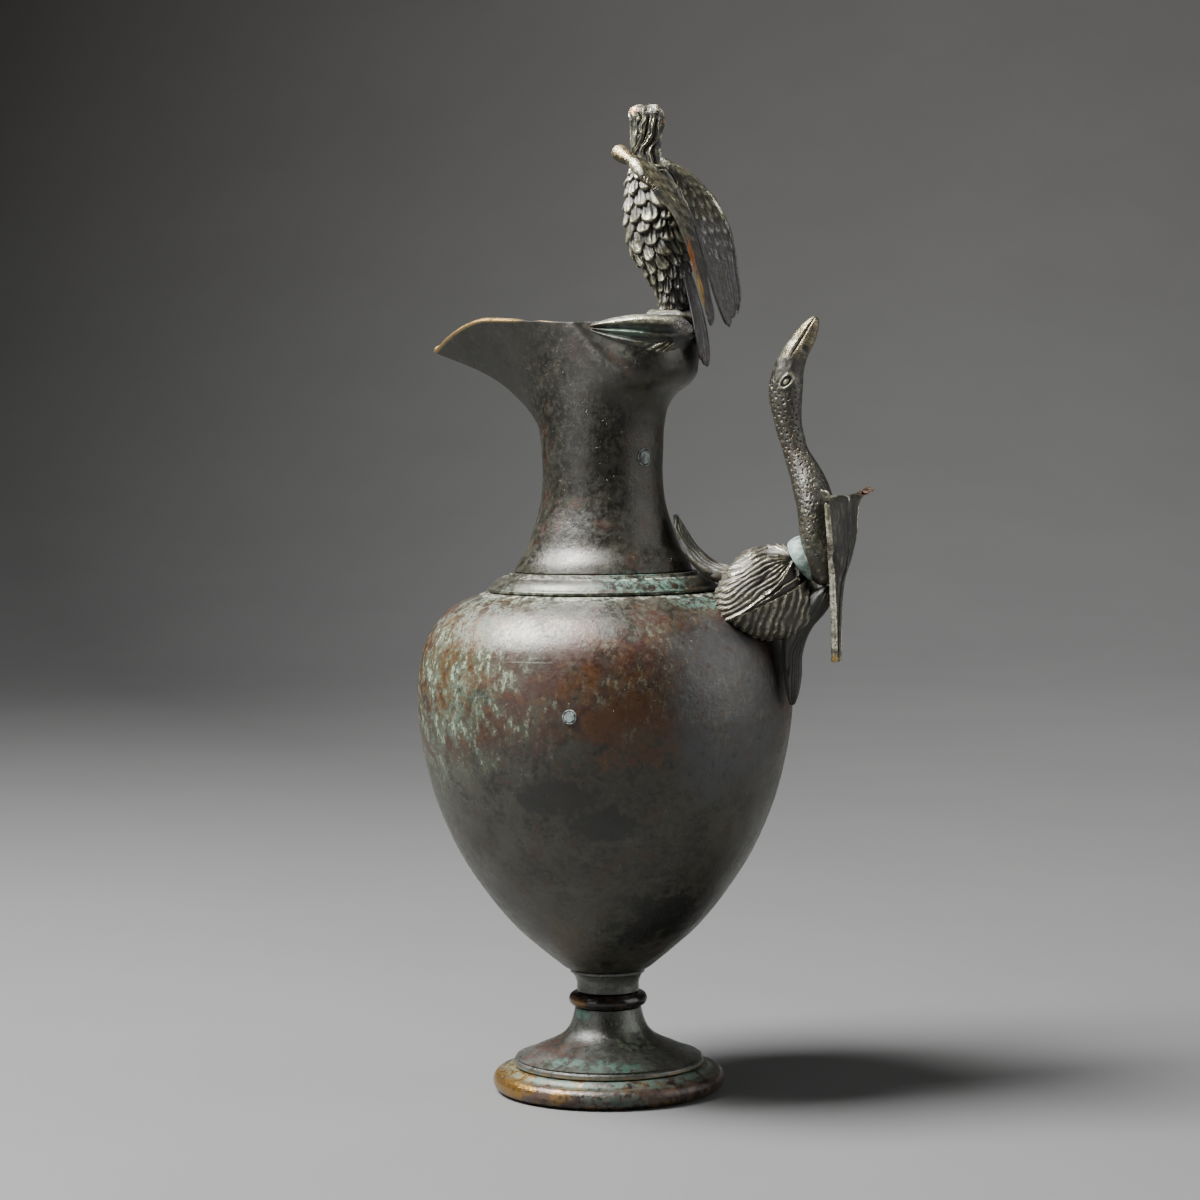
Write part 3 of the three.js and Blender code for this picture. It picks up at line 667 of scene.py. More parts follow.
def wing_roll(radii, knob):
    def shape(s, t):
        along = s * ROLL_LENGTH
        centre = flow(WING_OUTER, along)
        way = heading(WING_OUTER, along)
        _, out = wing_sheet(along, np.zeros_like(s))
        side = np.cross(way, out)
        side /= np.linalg.norm(side, axis=1)[:, None]
        out = np.cross(side, way)
        cos, sin = ring(t)
        ribbed = knob * step(0.27, 0.3, s) * (1 - step(0.4, 0.44, s))
        rib = wave(2 * np.pi * (s * 95 + t))
        grain = 0.08 * lumps(centre + out * 3, 3, 14) * step(0.4, 0.5, s)
        radius = (curve(radii, s) + ribbed * (rib - 0.6) * 0.45 + grain) * end_caps(s, 0.045, 0.05)
        place = centre + (side * cos[:, None] + out * sin[:, None]) * radius[:, None]
        smooth = 0.95 * knob * (1 - step(0.24, 0.3, s))
        plain = 0.6 * np.maximum(step(0.4, 0.46, s), 1 - knob)
        return place, np.clip(smooth + ribbed * (0.35 + 0.5 * rib) + plain, 0, 1)
    return shape


def primary(number, tip):
    count = len(PRIMARY_TIPS)
    centre = (number + 0.5) / count

    def shape(s, t):
        across, face = ring(t)
        ends = leaf_ends(s, 0.05)
        wide = 0.92 / count * (0.9 + 0.2 * s)
        place, out = wing_sheet(PRIMARY_ROOT + (tip - PRIMARY_ROOT) * s,
                                np.clip(centre + across * wide * ends, -0.02, 1.02))
        strands = wave(np.pi * 3.2 * across + 1.3 * np.sin(7 * s + number))
        shaft = bump(across, 0.1, 0.14)
        relief = 0.42 + 0.1 * strands + 0.14 * shaft - 0.2 * np.abs(across) ** 6
        lift = 0.3 * across + 0.12 * (number % 2) + face * (0.46 + 0.05 * strands) * ends
        lift += np.sign(face) * 0.16 * shaft * ends
        return place + out * lift[:, None], np.clip(relief, 0, 1)
    return shape


def blade(s, t):
    """The plain sheet that the primaries lie on."""
    across, face = ring(t)
    ends = leaf_ends(s, 0.06)
    place, out = wing_sheet(BLADE_START + BLADE_LENGTH * s, 0.5 + 0.5 * across * ends)
    return place + out * (0.5 * face * ends)[:, None], np.full(len(s), 0.42)


def mirror(piece):
    """Moves a piece to the other side of the plane Y = 0."""
    activate(piece)
    place = points_of(piece)
    place[:, 1] *= -1
    piece.data.vertices.foreach_set("co", place.ravel())
    flip_faces()
    return piece


def mirrored(piece, name):
    """A copy with its own mesh on the other side of the plane Y = 0."""
    activate(piece)
    bpy.ops.object.duplicate(linked=False)
    copy = mirror(bpy.context.object)
    copy.name = name
    return copy


feathers_right = [rolled("coverts", 280, 170, coverts), rolled("blade", 60, 30, blade)]
for number, tip in enumerate(PRIMARY_TIPS):
    feathers_right.append(rolled("primary", 90, 44, primary(number, tip)))
feathers_right = joined("feathers", feathers_right)
feathers_left = mirrored(feathers_right, "feathers_left")
knobbed_roll = mirror(rolled("knobbed_roll", 420, 40, wing_roll(ROLL_RADIUS, 1)))
wing_left = joined("bird_wing_left_feathers", [feathers_left, knobbed_roll])
plain_roll = rolled("plain_roll", 300, 30, wing_roll(PLAIN_RADIUS, 0))
wing_right = joined("bird_wing_right_feathers", [feathers_right, plain_roll])
fit(wing_right, "cast_bronze", "bird_wing_right")
fit(wing_left, "cast_bronze", "bird_wing_left")

# %% [markdown]
# The tail is a fan of five long feathers that hang down behind the rim. They lie over one another, so
# each is its own leaf, a little behind and beside the last, and their ends are stepped.

# %% Bird's tail
BIRD_TAIL = [(25, 252, 1, 3.4), (28.4, 247, 1.5, 4.6), (30.6, 240, 1.6, 5.2), (32.3, 233, 1.5, 5.4),
             (33.4, 226, 1.3, 5), (34, 219.4, 0.8, 3.6)]
TAIL_FEATHERS = [(0, 1.0, 0.0), (-0.36, 0.985, -0.35), (0.36, 0.985, -0.35), (-0.66, 0.94, -0.7),
                 (0.66, 0.94, -0.7)]


def tail_feather(offset, tip, layer):
    def shape(s, t):
        row = flow(BIRD_TAIL, s * tip)
        way = heading(np.asarray(BIRD_TAIL)[:, :2], s * tip)
        across, face = ring(t)
        ends = leaf_ends(s, 0.07)
        strands = wave(np.pi * 3.2 * across + 1.3 * np.sin(6 * s + 9 * offset))
        shaft = bump(across, 0, 0.14)
        depth = layer + (face * (0.55 + 0.08 * strands) + 0.22 * shaft * np.sign(face)) * ends
        y = row[:, 3] * (offset * (0.4 + 0.6 * s) + across * ends * 0.42)
        relief = 0.42 + 0.14 * strands + 0.2 * shaft - 0.25 * np.abs(across) ** 4
        place = np.stack([row[:, 0] - way[:, 1] * depth, y, row[:, 1] + way[:, 0] * depth], axis=1)
        return place, np.clip(relief, 0, 1)
    return shape


tail = [rolled("tail_feather", 110, 44, tail_feather(*row)) for row in TAIL_FEATHERS]
fit(joined("bird_tail_feathers", tail), "cast_bronze", "bird_tail")

# %% [markdown]
# The perch is a low lump on the back of the rim, with a few ridges like toes. From it an arm lies along
# the rim on either side. It has a thick smooth fold above, a deep hollow, a thinner fold, a fine line
# and a last low fold that sinks into the wall. Near the back its end curls into a few fine fingers that
# hold on. Only its outer face is shaped, by how far it stands off the wall, and its inner face is
# hidden in the wall.

# %% Perch and rim arms
PERCH = [(15.2, 234.9, 0.5, 1.5), (17, 235, 1.5, 4.2), (21.5, 235, 1.8, 6.5), (26, 234.8, 1.9, 6.2),
         (29.4, 234.2, 1.5, 4.2), (31, 233.6, 0.5, 1.8)]
ARM_HALF_HEIGHT = [(0, 3.4), (0.06, 4.6), (0.3, 5.6), (0.55, 5), (0.8, 3), (0.94, 1.6), (1, 0.9)]
ARM_START, ARM_END = 4, 78
ARM_MIDDLE, ARM_CLIMB = 228.2, 3
FINGERS_AT, FINGERS_HEIGHT, FINGER_STEP = 20, 227.2, 14


def perch(s, t):
    base = limb(PERCH, 0.06, 0.06)
    flat = base(s, t)
    toes = wave(1.5 * flat[:, 1] + 0.5 * flat[:, 0] + 0.8 * lumps(flat, 6, 9))
    relief = 0.3 + 0.55 * toes + 0.1 * lumps(flat, 5, 8)
    return lifted(base, s, t, 0.45 * toes - 0.15 + 0.15 * lumps(flat, 4, 9)), np.clip(relief, 0, 1)


def rim_arm(s, t):
    fold = ARM_START + (ARM_END - ARM_START) * s
    turn = np.radians(fold)
    close = end_caps(s, 0.03, 0.03)
    lean, high = ring(t)
    height = ARM_MIDDLE + ARM_CLIMB * s + curve(ARM_HALF_HEIGHT, s) * high * close
    wall = curve(MOUTH_PLAN, fold)
    folds = step(0.16, 0.32, s)
    upper = 2.6 * bump(high, 0.68 - 0.2 * (1 - folds), 0.3 + 0.4 * (1 - folds))
    lower = 1.5 * bump(high, -0.08, 0.19) + 0.5 * bump(high, -0.4, 0.05) + 1.3 * bump(high, -0.66, 0.2)
    across = wall * np.radians(fold - FINGERS_AT)
    down = FINGERS_HEIGHT - height
    fan = np.degrees(np.arctan2(down + 0.3, across))
    reach = np.hypot(across, down)
    wisp = step(6, 14, fan) * (1 - step(54, 66, fan)) * step(0.6, 1.6, reach) * (1 - step(8.6, 10, reach))
    strand = wave(2 * np.pi * (fan - 2.4 * reach) / FINGER_STEP)
    plain = (upper + lower * folds) * (1 - s ** 6 * 0.5) * (1 - 0.85 * wisp)
    proud = 0.2 + plain + wisp * (0.7 + 1.2 * strand)
    proud = proud + 0.12 * lumps(np.stack([across, down, fold * 0], axis=1), 4, 8)
    side = np.abs(lean) ** np.where(high < 0, 1.4, 0.5)
    out = np.where(lean > 0, wall - 0.15 + proud * side * close, wall - 0.7 * np.sqrt(np.abs(lean)))
    place = np.stack([out * np.cos(turn), out * np.sin(turn), height], axis=1)
    return place, np.clip(0.04 + 0.36 * plain + wisp * (1.3 * strand - 0.15), 0, 1)


fit(rolled("perch_cast", 70, 60, perch), "cast_bronze", "perch")
arm_right = rolled("rim_arm_right_cast", 260, 160, rim_arm)
arm_left = mirrored(arm_right, "rim_arm_left_cast")
fit(arm_right, "cast_bronze", "rim_arm_right")
fit(arm_left, "cast_bronze", "rim_arm_left")

# %% [markdown]
# The swan's body, neck and head are one long limb with a closed beak that points at the sky. Its skin
# was punched all over with small dots, each with a low burr round it. Each ring of dots is set half a
# step round from the last, and holds as many as fit, so the dots keep the same spacing on the thick
# breast and on the thin neck. The head is smoother, with an eye on each cheek and a slit between the
# halves of the beak.

# %% Swan
SWAN = [(70.2, 154.4, 1.4, 2.6), (70, 157, 3.6, 5), (69.4, 161.5, 4.8, 7.2), (68.8, 167.2, 5.2, 8.4),
        (68.4, 172.5, 5.2, 8.8), (67.4, 179.2, 5.2, 8), (65.4, 185.6, 4.9, 6.2), (63.4, 190, 4.3, 4.7),
        (61.6, 194.2, 3.7, 3.9), (59.9, 199.8, 3.9, 3.9), (59, 204.8, 4.3, 4.3), (58.6, 209.2, 4.9, 4.8),
        (58.8, 213.7, 5.1, 4.8), (59.6, 218.2, 4.5, 4.5), (61.5, 222.5, 3.8, 4), (64.2, 226.8, 3.3, 3.4),
        (66.4, 230.4, 2.5, 2.9), (67.9, 232.8, 1.3, 1.8), (68.4, 233.5, 0.5, 0.8)]
DOT_STEP, DOT_SPACE, DOT_SIZE, DOT_SHAKE = 1.7, 1.85, 0.31, 0.26
DOTS_FROM, DOTS_STOP_SHORT = 2.5, 20
BEAK_FROM, BEAK_TIP = 221, 233.4
EYE_X, EYE_Z = 60.3, 214.6


def swan_dots(s, t):
    """1 in the middle of each punched dot, falling to 0 around it."""
    fine = np.linspace(0, 1, 400)
    line = flow(SWAN, fine)
    lengths = np.concatenate([[0], np.cumsum(np.hypot(*np.diff(line[:, :2], axis=0).T))])
    girths = 2 * np.pi * np.sqrt(np.prod(line[:, 2:], axis=1))
    length, girth = np.interp(s, fine, lengths), np.interp(s, fine, girths)
    dots = np.zeros_like(s)
    rng = np.random.default_rng(5)
    for number, at in enumerate(np.arange(DOTS_FROM, lengths[-1] - DOTS_STOP_SHORT, DOT_STEP)):
        near = np.abs(length - at) < 1.5
        around = max(8, round(float(np.interp(at, lengths, girths)) / DOT_SPACE))
        turn = t[near] * around + 0.5 * (number % 2)
        which = np.round(turn).astype(int) % around
        shake = rng.uniform(-DOT_SHAKE, DOT_SHAKE, size=(around, 2))
        size = DOT_SIZE * rng.uniform(0.8, 1.15, size=around)[which]
        across = (turn - np.round(turn) + shake[which, 0]) / around * girth[near]
        down = length[near] - at - shake[which, 1] * 2
        dots[near] = np.maximum(dots[near], np.exp(-((across ** 2 + down ** 2) / size ** 2) ** 1.4))
    return dots


def swan(s, t):
    base = limb(SWAN, 0.02, 0.012)
    place = base(s, t)
    x, z = place[:, 0], place[:, 2]
    cos, cheek = ring(t)
    flank = np.abs(cheek) > 0.35
    beak = step(BEAK_FROM, BEAK_FROM + 4, z) * (1 - step(BEAK_TIP - 1.2, BEAK_TIP, z))
    split = bump(cos, 0.1, 0.05) * beak
    lip = (bump(cos, -0.14, 0.1) + bump(cos, 0.34, 0.1)) * beak
    off = np.hypot((x - EYE_X) * 0.95 - (z - EYE_Z) * 0.45, (z - EYE_Z) * 0.72)
    lid, ball, pit = (bump(off, at, wide) * flank for at, wide in ((1.45, 0.34), (0, 0.75), (0.95, 0.24)))
    nostril = bump(np.hypot((x - 65.4) * 0.8, (z - 224.2) * 0.5), 0, 0.5) * flank
    brow = bump(x - 59.2 - (z - 214) * 0.5, 0, 0.7) * bump(z, 218, 3) * flank
    dots = swan_dots(s, t) * (1 - step(BEAK_FROM - 2, BEAK_FROM + 3, z)) * step(1.7, 2.2, off)
    dots *= step(163, 166, z - 0.3 * (x - 66))
    burrs = np.clip(4 * dots * (1 - dots), 0, 1) * (dots < 0.5)
    height = 0.36 * lid + 0.44 * ball - 0.32 * pit - 0.34 * dots - 0.45 * split + 0.26 * lip
    height += 0.3 * brow + 0.1 * lumps(place, 6, 12) - 0.6 * nostril
    bill = 0.28 * step(BEAK_FROM - 2, BEAK_FROM + 4, z)
    relief = 0.52 + 0.1 * lumps(place, 2.6, 4) - 0.6 * dots + 0.35 * burrs + bill
    relief += 0.3 * (lid + ball + lip) - 0.55 * (split + pit + nostril)
    return lifted(base, s, t, height * fade_ends(s, 0.02, 0.012)), np.clip(relief, 0, 1)


fit(rolled("swan_cast", 580, 170, swan), "cast_bronze", "swan_body", "swan_neck")

# %% [markdown]
# The swan's wings are folded back to back. Each is a sheet from the middle of the back out to a thick
# round rod, which runs from a spur at the wrist down to the tip beyond the tail. The faces that look
# back carry fine chased lines, and the faces that look forward carry feathers.

# %% Swan's wings
SWAN_WING_OUTER = [(78, 23.8, 183.2), (76.6, 17.8, 180.8), (75.9, 14.6, 178), (75.8, 13.3, 174.4),
                   (75.8, 11.9, 168.4), (75.1, 9, 165), (74.3, 6.2, 162), (74, 4.2, 156),
                   (73.9, 3.2, 149), (73.9, 2.4, 141.5), (73.8, 1.9, 131.7)]
SWAN_WING_INNER = [(77.1, 22.4, 181.4), (76.6, 12, 181.2), (77.3, 3, 181), (77.8, 0.7, 178.6),
                   (77.8, 0.7, 168), (76.7, 0.9, 160), (75.4, 0.9, 155), (74.7, 0.8, 150),
                   (74.3, 0.8, 145), (74, 0.7, 140), (73.4, 0.7, 131.9)]
swan_sheet = sheet(SWAN_WING_OUTER, SWAN_WING_INNER)
ROD_FROM = 0.16
CHASED_STEP, WING_THICK = 0.62, 1.3


def swan_wing(s, t):
    across, face = ring(t)
    c = (1 - across) / 2
    _, out = swan_sheet(s, c)
    close = end_caps(s, 0.02, 0.006)
    width = np.linalg.norm(flow(SWAN_WING_OUTER, s) - flow(SWAN_WING_INNER, s), axis=1)
    rim = bump(c * width, 0, 1.1)
    spur = 1 - step(0.05, 0.16, s)
    chased = wave(2 * np.pi * (c * width / CHASED_STEP + 0.35 * np.sin(s * 21)))
    plumes = feathers(c * 3.2, s * 11, strands=2.5)
    grain = np.where(face > 0, plumes, chased)
    dip = 0.5 * np.sin(np.pi * np.clip(c, 0, 1)) * np.clip(width / 10, 0, 1) ** 2
    thick = (WING_THICK + 0.6 * rim + 1.1 * spur) * puffed(face, 0.5) / 2
    raised = both_faces(face) * (grain - 0.6) * 0.3 * (1 - rim) * (1 - spur)
    middle, _ = swan_sheet(s, c + (0.4 - c) * (1 - close))
    place = middle + out * ((thick + raised) * close + dip)[:, None]
    relief = np.maximum(0.3 + np.where(face > 0, 0.4, 0.14) * grain, 0.5 * rim) + 0.5 * spur
    return place, np.clip(relief, 0, 1)


def swan_rod(s, t):
    """The round edge of a folded wing, from its top down to its square-cut tip."""
    centre = flow(SWAN_WING_OUTER, ROD_FROM + (1 - ROD_FROM) * s)
    cos, sin = ring(t)
    radius = (0.8 + 0.2 * s) * end_caps(s, 0.05, 0.004) * (1 + 0.03 * lumps(centre, 9, 3))
    # The relief is 1 along the whole rod, so it takes the brightest colour: rubbed metal with a painted
    # highlight.
    return centre + np.stack([radius * cos, radius * sin, np.zeros_like(s)], axis=1), np.ones_like(s)


swan_wing_right = joined("swan_wing_right_cast", [rolled("swan_sheet", 320, 120, swan_wing),
                                                  rolled("swan_rod", 160, 28, swan_rod)])
swan_wing_left = mirrored(swan_wing_right, "swan_wing_left_cast")
fit(swan_wing_right, "cast_bronze", "swan_wing_right")
fit(swan_wing_left, "cast_bronze", "swan_wing_left")

# %% [markdown]
# The ring between the cup and the swan is turned flat like the foot, and then tilted and moved to its
# place with the usual turn and move, which are applied at once so that its object stays at the origin.

# %% Collar
COLLAR_CENTRE, COLLAR_TILT = (65, 0, 162.6), math.radians(33)
COLLAR = [(0, -2.3), (6.5, -2.3), (6.95, -2.1), (7.15, -1.6), (7.2, -0.4), (7.05, 0.7), (6.75, 1.6),
          (6.4, 2.15), (5.8, 2.3), (0, 2.3)]
collar = turned("collar_turned", COLLAR, 120)
activate(collar)
collar.rotation_euler = (0, math.radians(90) - COLLAR_TILT, 0)
collar.location = [v * MM for v in COLLAR_CENTRE]
bpy.ops.object.transform_apply(location=True, rotation=True, scale=True)
fit(collar, "collar_bronze", "swan_collar")

# %% [markdown]
# The calyx is a cup of two broad leaves, one on each side, whose edges meet above and below. A leaf has
# a wedge-shaped midrib that runs from the shoulder of the vessel up to the ring. Above it long ribs
# bow from the cup's root to the ring, with deep eyes between them. Below it short ribs hang down to a
# scalloped edge. The pattern is laid out on the leaf's side view, across and up.

# %% Calyx
CALYX = [(39, 151, 5, 11), (42.4, 151, 9, 16.6), (46.6, 151.4, 12.4, 19.6), (51, 152, 14.2, 20),
         (56, 152.4, 14.6, 17.8), (60.5, 152.6, 13.8, 14.8), (63.4, 152.8, 11.6, 12),
         (65.4, 153.2, 8.2, 9), (66.6, 153.8, 4.4, 5.4)]
CALYX_CORNER = 0.72
RIB_FOOT, RIB_HEAD = (34.6, 144.6), (55.6, 162.2)
RIB_COUNT, VEINS_TO_RIB, SHORT_RIB_STEP = 9, 2.6, 2.45
WEDGE_TOP = [(0, 0), (6, 2.9), (10.2, 5.9), (14, 8.6), (17.6, 12.2), (20.8, 17.2)]
WEDGE_LOW = [(0, 0), (6.2, 2.4), (11, 4.5), (16.3, 6.9), (21, 9.2), (26, 12.2)]
FIRST_RIB = ([4, 8, 10, 12.5, 15, 19, 26], [-45, -35, -22, -9, -1, 2, 8])
LAST_RIB = ([4, 9, 14, 19, 27], [66, 54, 48, 44.5, 41.5])
EYES = [(1.5, 0.5, 7.2, 2.4), (4.6, 0.42, 8.6, 2.2), (6.2, 0.42, 11, 2.2)]


def calyx(s, t):
    base = limb(CALYX, 0.05, 0.1, CALYX_CORNER)
    place = base(s, t)
    across = place[:, 0] * 0.927 - np.abs(place[:, 1]) * 0.375
    up = place[:, 2]
    right = across - RIB_FOOT[0]
    top_line, low_line = (RIB_FOOT[1] + curve(line, right) for line in (WEDGE_TOP, WEDGE_LOW))
    top_line = np.where(right > WEDGE_TOP[-1][0], 200, top_line)
    above, below = up - top_line, low_line - up
    past_foot = step(-0.6, 0.6, right)
    middle_line = low_line + (np.minimum(top_line, low_line + 5) - low_line) * 0.5
    edges = (bump(above, 0, 0.42) + bump(below, 0, 0.42)) * past_foot
    middle = bump(up - middle_line, 0, 0.4) * step(8, 11, right)
    hollow = ((above < 0) & (below < 0) & (right > 0)) * (1 - middle)
    reach = np.hypot(across - RIB_HEAD[0], up - RIB_HEAD[1])
    angle = np.degrees(np.arctan2(RIB_HEAD[1] - up, RIB_HEAD[0] - across))
    first, last = np.interp(reach, *FIRST_RIB), np.interp(reach, *LAST_RIB)
    index = (angle - first) / (last - first) * RIB_COUNT
    sway = 0.3 * np.sin(reach * 0.55) + 0.34 * lumps(place, 8, 17)
    long_ribs = wave(2 * np.pi * (index + sway)) ** 0.7 * (0.78 + 0.22 * lumps(place, 7, 23))
    veins = wave(2 * np.pi * index * VEINS_TO_RIB)
    eyes = sum(bump(index, rib, wide) * bump(reach, far, long) for rib, wide, far, long in EYES)
    lean = (across + 0.34 * (low_line - up) - 0.1 * right) / SHORT_RIB_STEP
    short_ribs = wave(2 * np.pi * (lean + 0.16 * lumps(place, 6, 29))) ** 0.7
    short_ribs *= 0.8 + 0.2 * lumps(place, 6, 3)
    upper = np.maximum(step(0.1, 0.7, above), 1 - past_foot)
    lower = step(0.1, 0.7, below) * past_foot
    ribs = upper * (long_ribs * 0.78 + veins * 0.22) + lower * short_ribs
    depth = upper * (0.7 + 0.5 * step(14, 9, reach)) + lower * 0.75
    seam = bump(ring(t)[1], 0, 0.05)
    height = (ribs - 0.8) * depth - 1.3 * eyes * upper + 0.5 * (edges + 0.8 * middle) - 0.8 * hollow
    relief = 0.12 + 0.88 * ribs + edges + middle - hollow - 0.9 * eyes * upper
    relief += 0.14 * lumps(place, 3, 19) - 0.4 * seam
    return lifted(base, s, t, (height - 0.3 * seam) * end_caps(s, 0.04, 0.06)), np.clip(relief, 0, 1)


fit(rolled("calyx_leaves", 185, 500, calyx), "cast_bronze", "calyx")

# %% [markdown]
# A third leaf climbs from the cup towards the neck and curls away from it at its tip. A fourth hangs
# from the cup down the belly. Both are long tongues with veins that run lengthwise.

# %% Long leaves
UPPER_LEAF = [(23.4, 175.4, 0.5, 1.2), (24.9, 171, 1.3, 3.6), (28.4, 164.6, 2, 5.2),
              (34.4, 159.2, 2.6, 5.6), (40, 157.4, 2.8, 5), (45, 157.4, 1.8, 4)]
LOWER_LEAF = [(71.2, 154.4, 0.8, 2.6), (70.2, 151.8, 2.6, 5.4), (67.2, 148.2, 3.4, 6.6),
              (63.8, 144.4, 3.3, 6.6), (61.2, 139.6, 3.2, 6.4), (60, 133.6, 2.6, 6.2),
              (60.3, 127.6, 2.1, 5.4), (60.2, 122, 1.4, 3.6), (59.8, 118.8, 0.6, 1.2)]


def tongue(stations, veins, depth, dark):
    base = limb(stations, 0.03, 0.03)

    def shape(s, t):
        side = ring(t)[1]
        drift = 0.12 * np.sin(9 * s) + 0.08 * lumps(base(s, t), 6, 21)
        vein = wave(2 * np.pi * (side + drift) * veins) ** 0.8
        relief = np.clip(0.1 + 0.6 * vein + 0.3 * bump(side, 0, 0.12), 0, 1)
        height = (relief - 0.7) * depth + 0.25 * bump(np.abs(side), 0.95, 0.12)
        return lifted(base, s, t, height * end_caps(s, 0.05, 0.05)), relief * (1 - dark)
    return shape


for node, rows, shape in [("calyx_upper_leaf", 180, tongue(UPPER_LEAF, 3.5, 0.8, 0.25)),
                          ("calyx_lower_leaf", 260, tongue(LOWER_LEAF, 4.5, 0.9, 0.5))]:
    fit(rolled(node + "_cast", rows, 150, shape), "cast_bronze", node)

# %% [markdown]
# The finish of old bronze is a stack of thin layers. A dark olive skin covers the metal. Brown and red
# copper oxides show where it is thin, pale green verdigris sits in flecks, dirt fills the hollows, and
# hands have rubbed the edges back to gold. Painted shade is added to the dirt in the hollows of the cast
# figures and in the grooves of the plugs, and painted highlights to the figures' rubbed edges. Each layer
# is a mask that lays one colour over the colours below it. A few masks are needed by every material, so
# each of them is a node group that is built once. Bench holds the short words that add nodes to a tree
# and join them. clouds, specks, patch and skin place one of the groups that are built further down.

# %% Words for nodes
class Bench:
    def __init__(self, tree):
        self.tree = tree

    def add(self, kind, inputs, output=0, **settings):
        node = self.tree.nodes.new("ShaderNode" + kind)
        for key, value in settings.items():
            setattr(node, key, value)
        for key, value in inputs.items():
            if isinstance(value, bpy.types.NodeSocket):
                self.tree.links.new(value, node.inputs[key])
            else:
                node.inputs[key].default_value = value
        return node.outputs[output]

    def math(self, operation, a, b):
        return self.add("Math", {0: a, 1: b}, operation=operation)

    def sum(self, a, b):
        return self.math("ADD", a, b)

    def times(self, a, b):
        return self.math("MULTIPLY", a, b)

    def less(self, a, b):
        return self.math("SUBTRACT", a, b)

    def most(self, a, b):
        return self.math("MAXIMUM", a, b)

    def vector(self, operation, a, b, output=0):
        return self.add("VectorMath", {0: a, 1: b}, output, operation=operation)

    def ramp(self, value, low, high):
        """0 at low and 1 at high, smooth between them. Low may be the larger of the two."""
        return self.add("MapRange", {"Value": value, "From Min": low, "From Max": high},
                        interpolation_type="SMOOTHSTEP")

    def between(self, mask, low, high):
        return self.add("MapRange", {"Value": mask, "To Min": low, "To Max": high})

    def place(self):
        """Where the point lies, in millimetres."""
        spot = self.add("TexCoord", {}, "Object")
        return self.add("VectorMath", {0: spot, "Scale": 1 / MM}, operation="SCALE")

    def attribute(self, name):
        return self.add("Attribute", {}, "Fac", attribute_name=name)

    def noise(self, place, size, detail=7.0, rough=0.6):
        per_mm = self.math("DIVIDE", 1.0, size)
        return self.add("TexNoise", {"Vector": place, "Scale": per_mm, "Detail": detail, "Roughness": rough})

    def blend(self, below, above, mask, strength=None):
        """One colour laid over another, where the mask is and as strongly as asked."""
        if strength is not None:
            mask = self.times(mask, strength)
        below, above = (tone if isinstance(tone, bpy.types.NodeSocket) else (*tone, 1)
                        for tone in (below, above))
        return self.add("Mix", {"Factor": mask, "A": below, "B": above}, "Result", data_type="RGBA")

    def use(self, group, inputs, output=0):
        return self.add("Group", inputs, output, node_tree=group)

    def clouds(self, size, low=0.45, high=0.6, shift=(0, 0, 0), stretch=(1, 1, 1)):
        return self.use(CLOUDS, {"Size": size, "Low": low, "High": high, "Shift": shift, "Stretch": stretch})

    def specks(self, size, share):
        return self.use(SPECKS, {"Size": size, "Share": share})

    def patch(self, centre, size, ragged, grain, edge=0.25):
        return self.use(PATCH, {"Centre": centre, "Size": size, "Ragged": ragged, "Grain": grain,
                                "Edge": edge})

    def skin(self, dents, grain, pits):
        return self.use(SKIN, {"Dents": dents, "Grain": grain, "Pits": pits})


def new_group(name, inputs, outputs):
    tree = bpy.data.node_groups.new(name, "ShaderNodeTree")
    for title, value in inputs.items():
        kind = "NodeSocketVector" if isinstance(value, tuple) else "NodeSocketFloat"
        tree.interface.new_socket(title, in_out="INPUT", socket_type=kind).default_value = value
    for title in outputs:
        tree.interface.new_socket(title, in_out="OUTPUT", socket_type="NodeSocketFloat")
    return Bench(tree), tree.nodes.new("NodeGroupInput").outputs


def close_group(b, **outputs):
    """Joins the group's results to its outputs and gives the group back."""
    out = b.tree.nodes.new("NodeGroupOutput").inputs
    for title, value in outputs.items():
        b.tree.links.new(value, out[title])
    return b.tree


# %% [markdown]
# patch is one stain at one place: an egg-shaped space round a centre, with an edge that noise frays.
# clouds is a mottling with no place of its own, such as thin and thick spots in the skin. Its stretch
# makes streaks. specks are many small chips, the more the larger their share is.

# %% Mask groups
def patch_group():
    sockets = {"Centre": (0, 0, 0), "Size": (10, 10, 10), "Ragged": 0.5, "Grain": 6.0, "Edge": 0.25}
    b, given = new_group("patch", sockets, ["Mask"])
    place = b.place()
    away = b.vector("DIVIDE", b.vector("SUBTRACT", place, given["Centre"]), given["Size"])
    far = b.add("VectorMath", {0: away}, "Value", operation="LENGTH")
    fray = b.times(b.times(b.less(b.noise(place, given["Grain"], 5.0), 0.5), given["Ragged"]), 4.0)
    edge = given["Edge"]
    return close_group(b, Mask=b.ramp(b.sum(far, fray), b.sum(1.0, edge), b.less(1.0, edge)))


def clouds_group():
    sockets = {"Size": 10.0, "Stretch": (1, 1, 1), "Shift": (0, 0, 0), "Low": 0.45, "High": 0.6}
    b, given = new_group("clouds", sockets, ["Mask"])
    place = b.add("VectorMath", {0: b.place(), 1: given["Stretch"], 2: given["Shift"]},
                  operation="MULTIPLY_ADD")
    return close_group(b, Mask=b.ramp(b.noise(place, given["Size"], 6.0, 0.65), given["Low"], given["High"]))


def specks_group():
    b, given = new_group("specks", {"Size": 2.0, "Share": 0.3}, ["Mask"])
    level = b.less(0.72, b.times(given["Share"], 0.4))
    return close_group(b, Mask=b.ramp(b.noise(b.place(), given["Size"], 4.0, 0.7), level, b.sum(level, 0.04)))


PATCH, CLOUDS, SPECKS = patch_group(), clouds_group(), specks_group()
